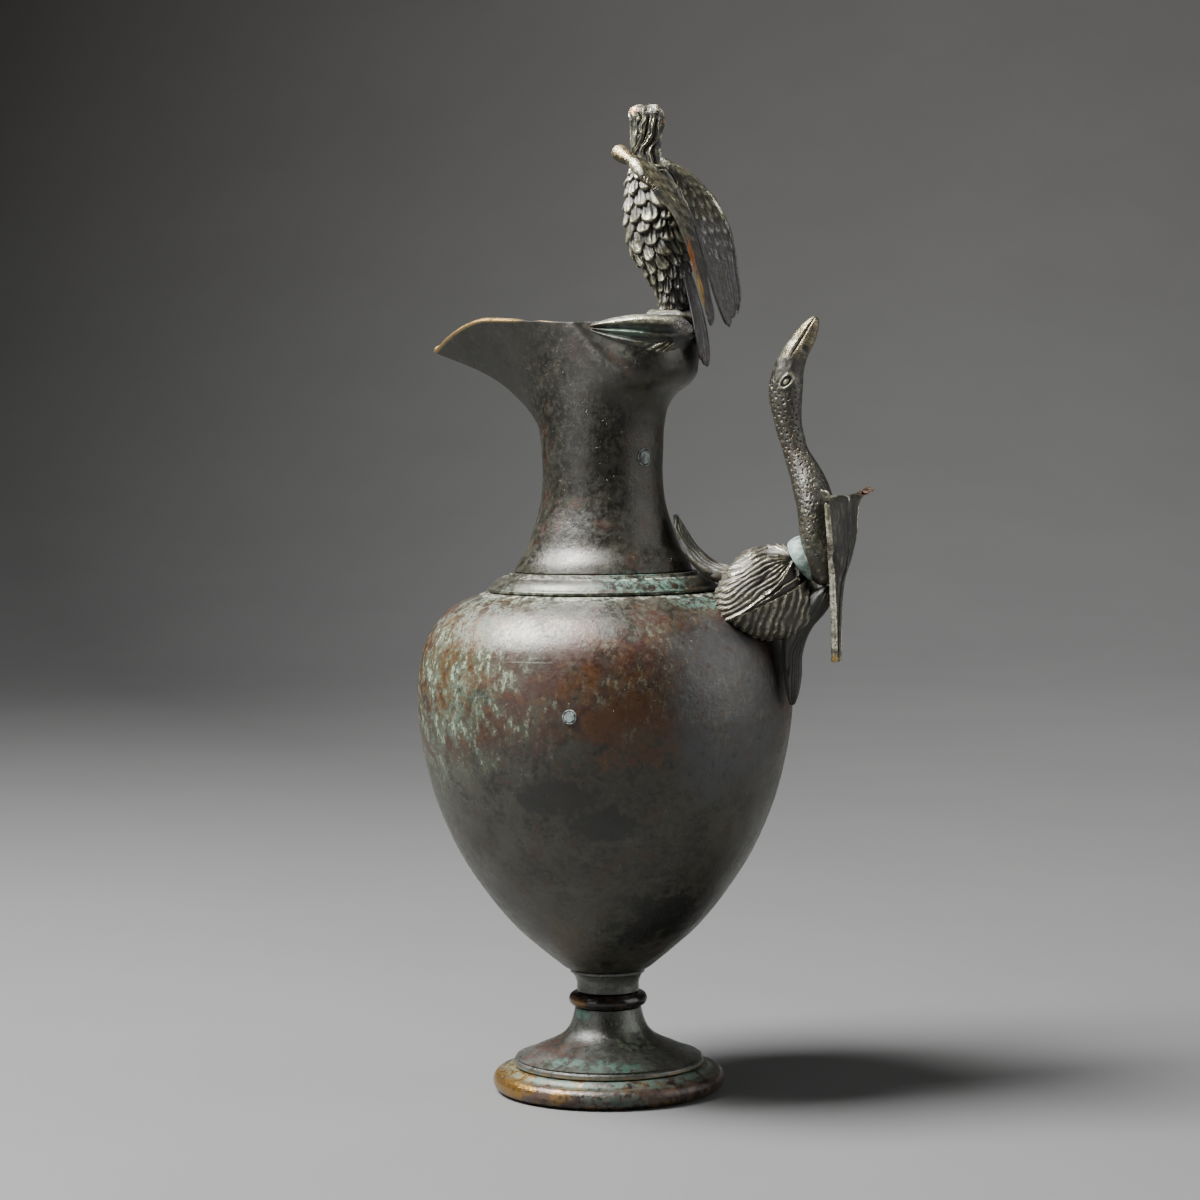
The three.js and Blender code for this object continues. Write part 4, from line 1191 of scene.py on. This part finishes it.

# %% [markdown]
# Two more groups shape the light on the surface. skin is the unevenness of hammered or cast metal:
# shallow dents, a fine grain and small pits, in millimetres for a Bump node. hollows reads how deep a
# point lies in the relief and tells the hollows, dark with dirt and painted shade, from the rubbed edges,
# pale with wear and painted highlights, with a little noise so neither is tidy.

# %% Surface groups
def skin_group():
    b, given = new_group("skin", {"Dents": 0.1, "Grain": 0.02, "Pits": 0.05}, ["Height"])
    place = b.place()
    dents = b.times(b.less(b.noise(place, 14.0, 2.0), 0.5), given["Dents"])
    grain = b.times(b.less(b.noise(place, 1.3, 6.0, 0.72), 0.5), given["Grain"])
    pits = b.times(b.specks(1.6, 0.16), given["Pits"])
    return close_group(b, Height=b.less(b.sum(dents, grain), pits))


def hollows_group():
    b, given = new_group("hollows", {"Dirt to": 0.35, "Rubbed from": 0.62, "Noise": 0.4}, ["Dirt", "Rubbed"])
    # Low relief gives the first mask, dirt with painted shade in the hollows; high relief gives the second,
    # rubbed metal with painted highlights.
    shaken = b.sum(b.attribute("relief"), b.times(b.less(b.noise(b.place(), 3.0), 0.5), given["Noise"]))
    dirt_and_shade, rubbed_and_lit = given["Dirt to"], given["Rubbed from"]
    return close_group(b, Dirt=b.ramp(shaken, b.sum(dirt_and_shade, 0.18), b.less(dirt_and_shade, 0.18)),
                       Rubbed=b.ramp(shaken, b.less(rubbed_and_lit, 0.1), b.sum(rubbed_and_lit, 0.3)))


SKIN, HOLLOWS = skin_group(), hollows_group()
print("shared groups:", [tree.name for tree in bpy.data.node_groups])

# %% [markdown]
# A material starts with its own Principled BSDF. finish joins the layered colour, the roughness, the
# share of bare metal and the skin to it, and sets what stays the same all over. stains
# lays a table of patches over a colour: most rows are stains or tones of the metal, and a few are painted
# shade, a painted highlight or a painted reflection. Each row of such a table gives a colour, a centre
# and half sizes in millimetres, how ragged it is, the size of its grain, and its strength.

# %% Starting and finishing a material
def new_material(name):
    material = bpy.data.materials.new(name)
    material.use_nodes = True
    return Bench(material.node_tree), material


def finish(b, material, colour, rough, metal, skin, fixed=None):
    shader = material.node_tree.nodes["Principled BSDF"]
    bumps = b.add("Bump", {"Height": b.skin(*skin), "Distance": MM, "Strength": 1.0})
    layers = {"Base Color": colour, "Roughness": rough, "Metallic": metal, "Normal": bumps}
    for socket, value in layers.items():
        b.tree.links.new(value, shader.inputs[socket])
    for socket, value in (fixed or {}).items():
        shader.inputs[socket].default_value = value
    return material


def stains(b, colour, table, break_up=None):
    cover = 0.0
    for tone, centre, size, ragged, grain, strength in table:
        mask = b.times(b.patch(centre, size, ragged, grain), strength)
        if break_up is not None:
            mask = b.times(mask, break_up)
        colour = b.blend(colour, tone, mask)
        cover = b.most(cover, mask)
    return colour, cover


# %% [markdown]
# The vessel itself: a dark olive ground, mottled. A wide belt of red-brown runs round the belly, warmer
# in some places, with ochre at the front left. Verdigris lies over it in vertical flecks where drops ran
# down, and turquoise and moss green sit in the angles of the shoulder band. Below the belt the skin is
# calm, with a few nearly black blotches. A blue-grey patch on the right front of the belly is a painted
# reflection of the light at the right. The worn rim of the mouth is bare metal, marked on its points
# by height.

# %% Vessel bronze
OLIVE, OLIVE_DARK, OLIVE_PALE = (0.022, 0.021, 0.0145), (0.006, 0.006, 0.0045), (0.05, 0.048, 0.034)
RED_BROWN, ORANGE_BROWN, OCHRE = (0.042, 0.014, 0.008), (0.085, 0.034, 0.009), (0.11, 0.068, 0.025)
VERDIGRIS, TURQUOISE, CREAM = (0.23, 0.28, 0.19), (0.07, 0.16, 0.125), (0.42, 0.42, 0.34)
MOSS = (0.062, 0.074, 0.05)
BLACK, REFLECTION_BLUE_GREY, GOLD = (0.006, 0.006, 0.0055), (0.045, 0.046, 0.051), (0.5, 0.33, 0.13)
BELLY_STAINS_AND_REFLECTION = [
    (OCHRE, (-30, -46, 135), (18, 17, 15), 1.0, 3.5, 0.55),
    (ORANGE_BROWN, (28, -49.5, 117), (14, 14, 12), 1.0, 4, 0.6),
    (ORANGE_BROWN, (14, -54, 128), (7, 7, 5), 1.0, 4, 0.6),
    (ORANGE_BROWN, (-20, 52, 124), (18, 18, 12), 1.0, 9, 0.8),
    # blue-grey patch on the right front of the belly: a painted reflection of the light at the right
    (REFLECTION_BLUE_GREY, (51, -26, 120), (25, 22, 25), 0.3, 12, 0.85),
    (CREAM, (-1, -54, 134.4), (7, 9, 0.2), 0.15, 2, 0.28),
    (OLIVE_DARK, (-22, -12, 223), (44, 40, 24), 0.8, 8, 0.65),
    (OLIVE_DARK, (-8, -22, 192), (20, 14, 26), 0.8, 7, 0.5),
]
DARK_STAINS = [
    (BLACK, (5, -52, 95), (11, 11, 5.5), 0.6, 5, 0.85),
    (BLACK, (17, -47, 87), (9, 9, 5), 0.7, 5, 0.85),
    (BLACK, (28, -21, 55), (15, 15, 8), 0.8, 5, 0.95),
    (BLACK, (-24, 40, 90), (16, 16, 9), 0.7, 7, 0.8),
]
TURQUOISE_STAINS = [
    (TURQUOISE, (23, -24, 156), (19, 15, 3.4), 0.9, 4, 0.9),
    (TURQUOISE, (34, -14, 150), (12, 12, 5), 0.9, 4, 0.7),
    (TURQUOISE, (-54, -19, 112), (7, 11, 22), 0.8, 3, 0.8),
    (TURQUOISE, (-28, -46, 122), (15, 14, 12), 1.0, 3, 0.4),
    (VERDIGRIS, (-8, -36, 152), (30, 12, 3), 0.9, 4, 0.6),
    (MOSS, (-20, -40, 146), (26, 18, 7), 0.9, 5, 0.9),
    (MOSS, (-38, -38, 104), (15, 18, 12), 1.0, 5, 0.8),
    (CREAM, (0, 0, 152.2), (200, 200, 0.7), 0.6, 3, 0.5),
    (CREAM, (0, 0, 157.4), (200, 200, 0.6), 0.6, 3, 0.45),
    (VERDIGRIS, (-20, 26, 156), (24, 18, 4), 0.9, 4, 0.6),
]
FINE_SKIN = (1.8, 0.42, 0.6, (6, 2, 9))


def vessel_bronze():
    b, material = new_material("vessel_bronze")
    colour = b.blend(OLIVE, OLIVE_PALE, b.clouds(20, 0.4, 0.7))
    colour = b.blend(colour, OLIVE_DARK, b.clouds(7, 0.44, 0.64, (31, 5, 8)))
    fine = b.clouds(*FINE_SKIN)
    colour = b.blend(colour, OLIVE_PALE, fine, 0.55)
    belt = b.patch((0, 0, 127), (90, 90, 21), 0.5, 16, 0.3)
    red = b.times(b.clouds(13, 0.34, 0.46, (4, 71, 2), (1, 1, 1.3)), belt)
    colour = b.blend(colour, RED_BROWN, red, 0.9)
    colour = b.blend(colour, ORANGE_BROWN, b.times(red, b.clouds(5, 0.5, 0.62, (40, 7, 3))), 0.6)
    colour = b.blend(colour, RED_BROWN, b.clouds(6, 0.54, 0.66, (9, 3, 40)), 0.65)
    colour, _ = stains(b, colour, BELLY_STAINS_AND_REFLECTION, b.clouds(2.2, 0.3, 0.5, (3, 3, 1)))
    colour, _ = stains(b, colour, DARK_STAINS)
    haze = b.clouds(6, 0.4, 0.58, (5, 8, 1), (1, 1, 0.7))
    flecks = b.times(b.clouds(1.7, 0.5, 0.6, (2, 4, 6), (1, 1, 0.55)), haze)
    flecks = b.times(flecks, b.clouds(0.6, 0.4, 0.52, (7, 4, 6)))
    drift = b.times(b.clouds(22, 0.42, 0.6, (-13, 6, 19)), belt)
    run_down = b.most(b.patch((-31, -44, 124), (30, 26, 18), 0.7, 7, 0.6), b.times(drift, 0.3))
    green = b.times(flecks, run_down)
    colour = b.blend(colour, MOSS, b.times(haze, run_down), 0.75)
    crumbs = b.times(b.clouds(4, 0.42, 0.56), b.clouds(1.1, 0.38, 0.56, (1, 5, 2)))
    colour, blue = stains(b, colour, TURQUOISE_STAINS, crumbs)
    colour = b.blend(colour, VERDIGRIS, green, 0.9)
    colour = b.blend(colour, VERDIGRIS, b.specks(1.1, 0.12), 0.4)
    colour = b.blend(colour, BLACK, b.specks(3, 0.2), 0.7)
    rim = b.times(b.attribute("rim"), b.clouds(6, 0.3, 0.46))
    colour = b.blend(colour, GOLD, rim)
    crust = b.most(green, blue)
    rougher = b.times(b.sum(fine, b.times(crust, 3.0)), 0.1)
    rough = b.sum(b.between(b.clouds(11, 0.3, 0.7), 0.27, 0.4), rougher)
    metal = b.sum(b.less(0.25, b.times(crust, 0.25)), b.times(rim, 0.65))
    return finish(b, material, colour, rough, metal, (0.16, 0.14, 0.1),
                  {"IOR": 1.7, "Specular Tint": (1, 0.985, 0.94, 1)})


# %% [markdown]
# The foot was cast and turned, so its wear follows its rings. The thin edge of the disc and the left of
# the round base are rubbed to gold. Verdigris has settled in the step between the two, and under the
# bead. A ring is a patch that is very wide and very low, so one table serves for rings and spots.

# %% Foot, bead and base
FOOT_STAINS = [
    (RED_BROWN, (-14, -16, 14), (13, 13, 4), 0.8, 5, 0.75),
    (ORANGE_BROWN, (-11, -19, 15.5), (4, 4, 3), 0.8, 3, 0.5),
    (TURQUOISE, (0, 0, 7.6), (200, 200, 1), 0.35, 4, 0.5),
    (TURQUOISE, (4, -22, 11.2), (15, 6, 1.3), 1.0, 3, 0.6),
    (TURQUOISE, (-5, -9, 24), (5, 4, 1.5), 0.5, 3, 0.8),
    (TURQUOISE, (14, 18, 13), (14, 14, 4), 0.9, 5, 0.6),
    (VERDIGRIS, (12, -8, 19), (5, 6, 7), 0.9, 3, 0.4),
]
FOOT_GREY, FOOT_DARK, FOOT_BROWN, EDGE_GOLD = \
    (0.085, 0.09, 0.078), (0.032, 0.033, 0.026), (0.03, 0.024, 0.017), (0.42, 0.25, 0.08)
BASE_BROWN, BASE_DARK, BASE_GOLD, BASE_GREEN = \
    (0.085, 0.056, 0.042), (0.026, 0.018, 0.015), (0.34, 0.19, 0.045), (0.085, 0.14, 0.115)
BEAD_BLACK, BEAD_GOLD, BEAD_BROWN = (0.011, 0.008, 0.007), (0.17, 0.095, 0.035), (0.06, 0.035, 0.02)


def foot_bronze():
    b, material = new_material("foot_bronze")
    colour = b.blend(FOOT_DARK, FOOT_GREY, b.clouds(11, 0.34, 0.6))
    colour = b.blend(colour, FOOT_BROWN, b.clouds(*FINE_SKIN), 0.6)
    colour, crust = stains(b, colour, FOOT_STAINS, b.clouds(2.4, 0.4, 0.56))
    colour = b.blend(colour, BLACK, b.specks(2.4, 0.2), 0.7)
    colour = b.blend(colour, VERDIGRIS, b.specks(1.3, 0.12), 0.5)
    edge = b.times(b.attribute("edge"), b.clouds(4, 0.4, 0.55))
    colour = b.blend(colour, EDGE_GOLD, edge, 0.85)
    rough = b.sum(b.between(b.clouds(6), 0.25, 0.36), b.times(crust, 0.25))
    metal = b.sum(0.25, b.times(edge, 0.7))
    return finish(b, material, colour, rough, metal, (0.05, 0.2, 0.15), {"IOR": 1.7})


def worn_bronze():
    b, material = new_material("worn_bronze")
    colour = b.blend(BASE_DARK, BASE_BROWN, b.clouds(4, 0.4, 0.6))
    worn = b.times(b.clouds(8, 0.52, 0.66, (3, 9, 0)), 0.55)
    bare = b.most(b.patch((-24, -21, 4), (17, 16, 5), 0.6, 4), worn)
    bare = b.times(bare, b.clouds(2.6, 0.36, 0.5, (5, 1, 2), (1, 1, 1.6)))
    colour = b.blend(colour, BASE_GOLD, bare, 0.9)
    step_green = b.patch((0, 0, 7), (300, 300, 1), 0.3, 3, 0.5)
    spot_green = b.patch((14, -33, 3), (11, 8, 2.6), 1.0, 2.6)
    green = b.times(b.most(step_green, b.times(spot_green, 0.5)), b.clouds(2.6, 0.4, 0.55, (1, 7, 2)))
    colour = b.blend(colour, BASE_GREEN, green, 0.75)
    colour = b.blend(colour, BLACK, b.specks(1.8, 0.22), 0.75)
    rough = b.sum(0.25, b.times(green, 0.25))
    metal = b.less(b.sum(0.35, b.times(bare, 0.5)), b.times(green, 0.3))
    return finish(b, material, colour, rough, metal, (0.06, 0.18, 0.2))


def brown_bronze():
    b, material = new_material("brown_bronze")
    warm = b.patch((-8, -9, 26.6), (5, 5, 2.4), 0.8, 3)
    colour = b.blend(BEAD_BLACK, BEAD_GOLD, warm, 0.8)
    colour = b.blend(colour, BEAD_BROWN, b.clouds(5, 0.5, 0.7))
    rough = b.between(b.clouds(3), 0.2, 0.34)
    return finish(b, material, colour, rough, b.times(warm, 0.6), (0.03, 0.01, 0.02))


# %% [markdown]
# The cast figures are coloured by their relief: nearly black dirt with painted shade in the hollows, a
# grey-green skin between, and pale or golden metal on the highest points, which hands and cloths reach,
# made paler still as a painted highlight. The long wing feathers are greyer and plainer. A table of
# stains gives the bright knob, the golden beak, the copper spur and the limy calyx. On the swan's near
# wing a near-white stripe down the rod is a painted highlight, and a nearly black patch where the two
# folded wings meet is painted shade. Rods and other smooth proud parts have the highest relief value
# and come out brightest.

# %% Cast bronze
CAST_TONES = [
    ((0.12, 0.112, 0.125), (37, 10, 240), (13, 30, 26), 0.4, 8, 0.85),
    ((0.045, 0.046, 0.05), (29, -4, 229), (5, 13, 8), 0.4, 6, 0.85),
    ((0.19, 0.175, 0.13), (52, 0, 153), (17, 24, 16), 0.5, 6, 0.8),
    ((0.06, 0.05, 0.042), (62, 0, 132), (9, 12, 15), 0.6, 5, 0.7),
    ((0.05, 0.044, 0.038), (70, 0, 158), (7, 12, 8), 0.5, 5, 0.5),
    ((0.045, 0.040, 0.032), (62, 0, 198), (14, 12, 40), 0.6, 7, 0.75),
    ((0.24, 0.22, 0.16), (21, -6, 235), (9, 6, 2.6), 0.5, 3, 0.8),
    # a nearly black patch where the swan's two folded wings meet: painted shade
    ((0.017, 0.0165, 0.016), (77, 0, 165), (5, 10, 18), 0.3, 4, 0.9),
    ((0.19, 0.185, 0.13), (15.5, -1, 289), (7, 7, 12), 0.5, 4, 0.7),
    ((0.065, 0.064, 0.038), (17, -6, 262), (9, 10, 16), 0.6, 5, 0.7),
    ((0.21, 0.19, 0.105), (23, -17, 271), (9, 9, 10), 0.7, 4, 0.8),
    ((0.18, 0.185, 0.13), (17, -20, 233.6), (16, 10, 2.2), 0.5, 3, 0.8),
]
RUBBED_AND_LIT_TONES = [
    ((0.36, 0.29, 0.15), (67, 0, 228), (9, 6, 11), 0.5, 4, 0.85),
    ((0.34, 0.25, 0.11), (14, -19, 282), (9, 7, 8), 0.6, 3, 0.85),
    ((0.4, 0.35, 0.18), (26, -20, 273), (6, 7, 6), 0.8, 3, 0.7),
    ((0.55, 0.33, 0.25), (77, 20, 181.5), (5, 10, 4), 0.4, 3, 0.9),
    # a near-white stripe down the swan's near wing rod: a painted highlight
    ((0.95, 0.89, 0.72), (74.4, -6, 158), (3, 8, 28), 0.3, 4, 0.9),
    ((0.82, 0.79, 0.6), (15.5, -1, 289), (7, 7, 12), 0.4, 5, 0.8),
    ((0.68, 0.66, 0.46), (17, -6, 262), (9, 10, 16), 0.5, 6, 0.6),
    ((0.34, 0.33, 0.35), (37, 10, 240), (13, 30, 26), 0.4, 8, 0.85),
    ((0.5, 0.47, 0.36), (52, 0, 153), (17, 24, 16), 0.4, 6, 0.85),
]
CAST_STAINS = [
    ((0.42, 0.17, 0.05), (10.5, -18.5, 285), (3.2, 3.2, 1.8), 0.6, 2, 0.8),
    ((0.05, 0.04, 0.024), (15, -19, 279.6), (7, 5, 1.6), 0.7, 2, 0.8),
    ((0.30, 0.095, 0.02), (36.6, -20, 250), (1.1, 3, 13), 0.6, 2, 0.8),
    ((0.36, 0.22, 0.05), (38.2, -17.5, 240), (1.1, 2.6, 6), 0.7, 2, 0.8),
    ((0.4, 0.18, 0.06), (12.5, -2.5, 296), (2.4, 2.4, 1.2), 0.7, 2, 0.7),
    ((0.4, 0.18, 0.06), (19.6, 2, 293), (1.6, 2.4, 1.6), 0.7, 2, 0.6),
    ((0.42, 0.17, 0.05), (3.5, -22, 231.5), (3, 3, 1.4), 0.6, 2, 0.7),
    ((0.5, 0.33, 0.12), (73.7, -2, 132.6), (2.5, 3, 1.4), 0.3, 2, 0.9),
    ((0.11, 0.25, 0.2), (40, -10, 143), (5, 8, 4), 0.9, 3, 0.6),
    ((0.12, 0.2, 0.15), (18, -20, 230), (8, 6, 1.6), 0.8, 3, 0.5),
]
CAST_DARK, CAST_PALE, CAST_FINE, CAST_RUBBED_AND_LIT = \
    (0.031, 0.031, 0.018), (0.092, 0.092, 0.056), (0.018, 0.016, 0.01), (0.6, 0.58, 0.42)
CAST_SPECKLE, CAST_BROWN, CAST_DIRT_AND_SHADE = (0.026, 0.026, 0.014), (0.055, 0.034, 0.018), (0.011, 0.011, 0.008)
CALYX_DIRT_AND_SHADE = [((0.042, 0.033, 0.02), (52, 0, 153), (17, 24, 16), 0.4, 6, 0.9)]


def cast_bronze():
    b, material = new_material("cast_bronze")
    dirt_and_shade = b.use(HOLLOWS, {})
    # the high points: rubbed metal, made paler still as a painted highlight
    rubbed_and_lit = b.times(dirt_and_shade.node.outputs["Rubbed"], b.between(b.clouds(2.2, 0.36, 0.58, (8, 2, 5)), 0.3, 1.0))
    colour = b.blend(CAST_DARK, CAST_PALE, b.clouds(6, 0.36, 0.62))
    colour, _ = stains(b, colour, CAST_TONES)
    colour = b.blend(colour, CAST_FINE, b.clouds(1.2, 0.42, 0.6, (6, 2, 9)), 0.7)
    bright, _ = stains(b, CAST_RUBBED_AND_LIT, RUBBED_AND_LIT_TONES)
    colour = b.blend(colour, bright, rubbed_and_lit)
    colour = b.blend(colour, CAST_SPECKLE, b.clouds(1, 0.5, 0.6, (3, 8, 5)), 0.6)
    colour = b.blend(colour, CAST_BROWN, b.clouds(3.5, 0.5, 0.62, (1, 44, 3)), 0.6)
    # the hollows: dirt with painted shade, nearly black, browner on the calyx
    deep, _ = stains(b, CAST_DIRT_AND_SHADE, CALYX_DIRT_AND_SHADE)
    colour = b.blend(colour, deep, dirt_and_shade, 0.93)
    colour, warm = stains(b, colour, CAST_STAINS)
    colour = b.blend(colour, BLACK, b.specks(1.7, 0.14), 0.6)
    rough = b.sum(b.less(0.31, b.times(rubbed_and_lit, 0.08)), b.times(dirt_and_shade, 0.4))
    metal = b.sum(b.less(0.35, b.times(dirt_and_shade, 0.35)), b.times(b.most(rubbed_and_lit, warm), 0.4))
    return finish(b, material, colour, rough, metal, (0.04, 0.34, 0.25), {"IOR": 1.8})


# %% [markdown]
# The ring under the swan is pale turquoise all over, chipped to brown. The two plugs are lead grey,
# mottled, with dirt and painted shade in the groove near their edge.

# %% Ring and plugs
RING_GREEN, RING_PALE, RING_BROWN = (0.1, 0.16, 0.14), (0.33, 0.41, 0.37), (0.075, 0.06, 0.045)
PLUG_GREY, PLUG_PALE = (0.06, 0.07, 0.065), (0.3, 0.35, 0.33)


def collar_bronze():
    b, material = new_material("collar_bronze")
    colour = b.blend(RING_GREEN, RING_PALE, b.clouds(2.5, 0.38, 0.6))
    colour = b.blend(colour, RING_BROWN, b.clouds(2.8, 0.5, 0.66, (7, 1, 4)), 0.8)
    colour = b.blend(colour, BLACK, b.specks(1.4, 0.15), 0.6)
    rough = b.between(b.clouds(3), 0.4, 0.62)
    return finish(b, material, colour, rough, b.times(b.clouds(4), 0.1), (0.04, 0.3, 0.2))


def grey_plug():
    b, material = new_material("grey_plug")
    dirt_and_shade = b.use(HOLLOWS, {"Dirt to": 0.3})
    colour = b.blend(PLUG_GREY, PLUG_PALE, b.clouds(2.2, 0.4, 0.56))
    # dirt with painted shade in the groove near the plug's edge
    colour = b.blend(colour, BLACK, dirt_and_shade, 0.85)
    rough = b.sum(0.48, b.times(dirt_and_shade, 0.2))
    return finish(b, material, colour, rough, b.times(b.clouds(2), 0.2), (0.03, 0.3, 0.2))


MATERIALS = {build.__name__: build() for build in (vessel_bronze, foot_bronze, worn_bronze, brown_bronze,
                                                   cast_bronze, collar_bronze, grey_plug)}
slots = {entry["node"]: entry["material_slot"] for entry in frame["record"]["subparts"]}
for item in list(bpy.context.scene.objects):
    slot = slots.get(item.name) or item.get("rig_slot")
    if item.type == "MESH" and slot in MATERIALS:
        item.data.materials.clear()
        item.data.materials.append(MATERIALS[slot])
print("materials:", {name: len(material.node_tree.nodes) for name, material in MATERIALS.items()})

# %% [markdown]
# The studio is a grey sheet that lies under the ewer and rises behind it in one wide curve, so no
# horizon shows. It is made from a plane whose back edge is extruded along the curve. The main light is
# a large soft box, high and a little to the left, which puts the broad highlight on the shoulder of the
# belly and the soft shadow at the right. A weak light at the right lifts the dark side, a weaker one in
# front reaches into the hollows, and one that looks away from the ewer brightens the sheet behind it.

# %% Floor and backdrop
SHEET_WIDTH, SHEET_BACK, SHEET_FRONT, SHEET_HEIGHT = 9, 1.5, -4.5, -0.0001
SWEEP_RADIUS, SWEEP_STEPS, WALL_RISE = 1.6, 20, 2.5
FLOOR_TONE, WALL_TONE, MOTTLE_TONE = (0.115, 0.117, 0.115), (0.115, 0.108, 0.101), (0.22, 0.22, 0.215)


def backdrop_paint():
    b, material = new_material("backdrop")
    up = b.add("SeparateXYZ", {"Vector": b.place()}, "Z")
    colour = b.blend(FLOOR_TONE, WALL_TONE, b.ramp(up, -100.0, 1100.0))
    colour = b.blend(colour, MOTTLE_TONE, b.clouds(160, 0.3, 0.7), 0.06)
    shader = material.node_tree.nodes["Principled BSDF"]
    b.tree.links.new(colour, shader.inputs["Base Color"])
    shader.inputs["Roughness"].default_value = 0.75
    return material


def add_backdrop():
    deselect()
    bpy.ops.mesh.primitive_plane_add(size=1, location=(0, 0, SHEET_HEIGHT))
    backdrop = bpy.context.object
    backdrop.name = "backdrop"
    for vertex in backdrop.data.vertices:
        behind = vertex.co.y > 0
        vertex.co = RIGHT * vertex.co.x * SHEET_WIDTH + BACK * (SHEET_BACK if behind else SHEET_FRONT)
        vertex.select = behind
    bpy.ops.object.mode_set(mode="EDIT")
    bpy.ops.mesh.select_mode(type="EDGE")
    for number in range(SWEEP_STEPS):
        one, two = (math.radians(90 * k / SWEEP_STEPS) for k in (number, number + 1))
        move = BACK * (math.sin(two) - math.sin(one)) + UP * (math.cos(one) - math.cos(two))
        bpy.ops.mesh.extrude_edges_move(TRANSFORM_OT_translate={"value": move * SWEEP_RADIUS})
    bpy.ops.mesh.extrude_edges_move(TRANSFORM_OT_translate={"value": UP * WALL_RISE})
    bpy.ops.object.mode_set(mode="OBJECT")
    settle(backdrop, 60, outwards=False)
    backdrop.data.materials.append(backdrop_paint())


add_backdrop()

# %% Lights
BELLY_MIDDLE = (0, 0, 0.12)
LIGHTS = [("key", (-0.46, -0.30, 1.05), BELLY_MIDDLE, 0.52, 68),
          ("fill", (1.1, 0.2, 0.45), BELLY_MIDDLE, 0.9, 6),
          ("front", (-0.6, -1.2, 0.3), BELLY_MIDDLE, 0.6, 2.6),
          ("wall", (-0.5, 1.2, 1.2), (1.2, 2.8, 0.7), 0.8, 27)]
ROOM_GREY, ROOM_STRENGTH = (0.62, 0.62, 0.62, 1), 0.21

for name, place, aim, size, power in LIGHTS:
    data = bpy.data.lights.new(name, "AREA")
    data.size = size
    data.energy = power
    aimed(bpy.data.objects.new(name, data), place, aim)
world = bpy.data.worlds.new("world")
world.use_nodes = True
background = world.node_tree.nodes["Background"]
background.inputs["Color"].default_value = ROOM_GREY
background.inputs["Strength"].default_value = ROOM_STRENGTH
bpy.context.scene.world = world
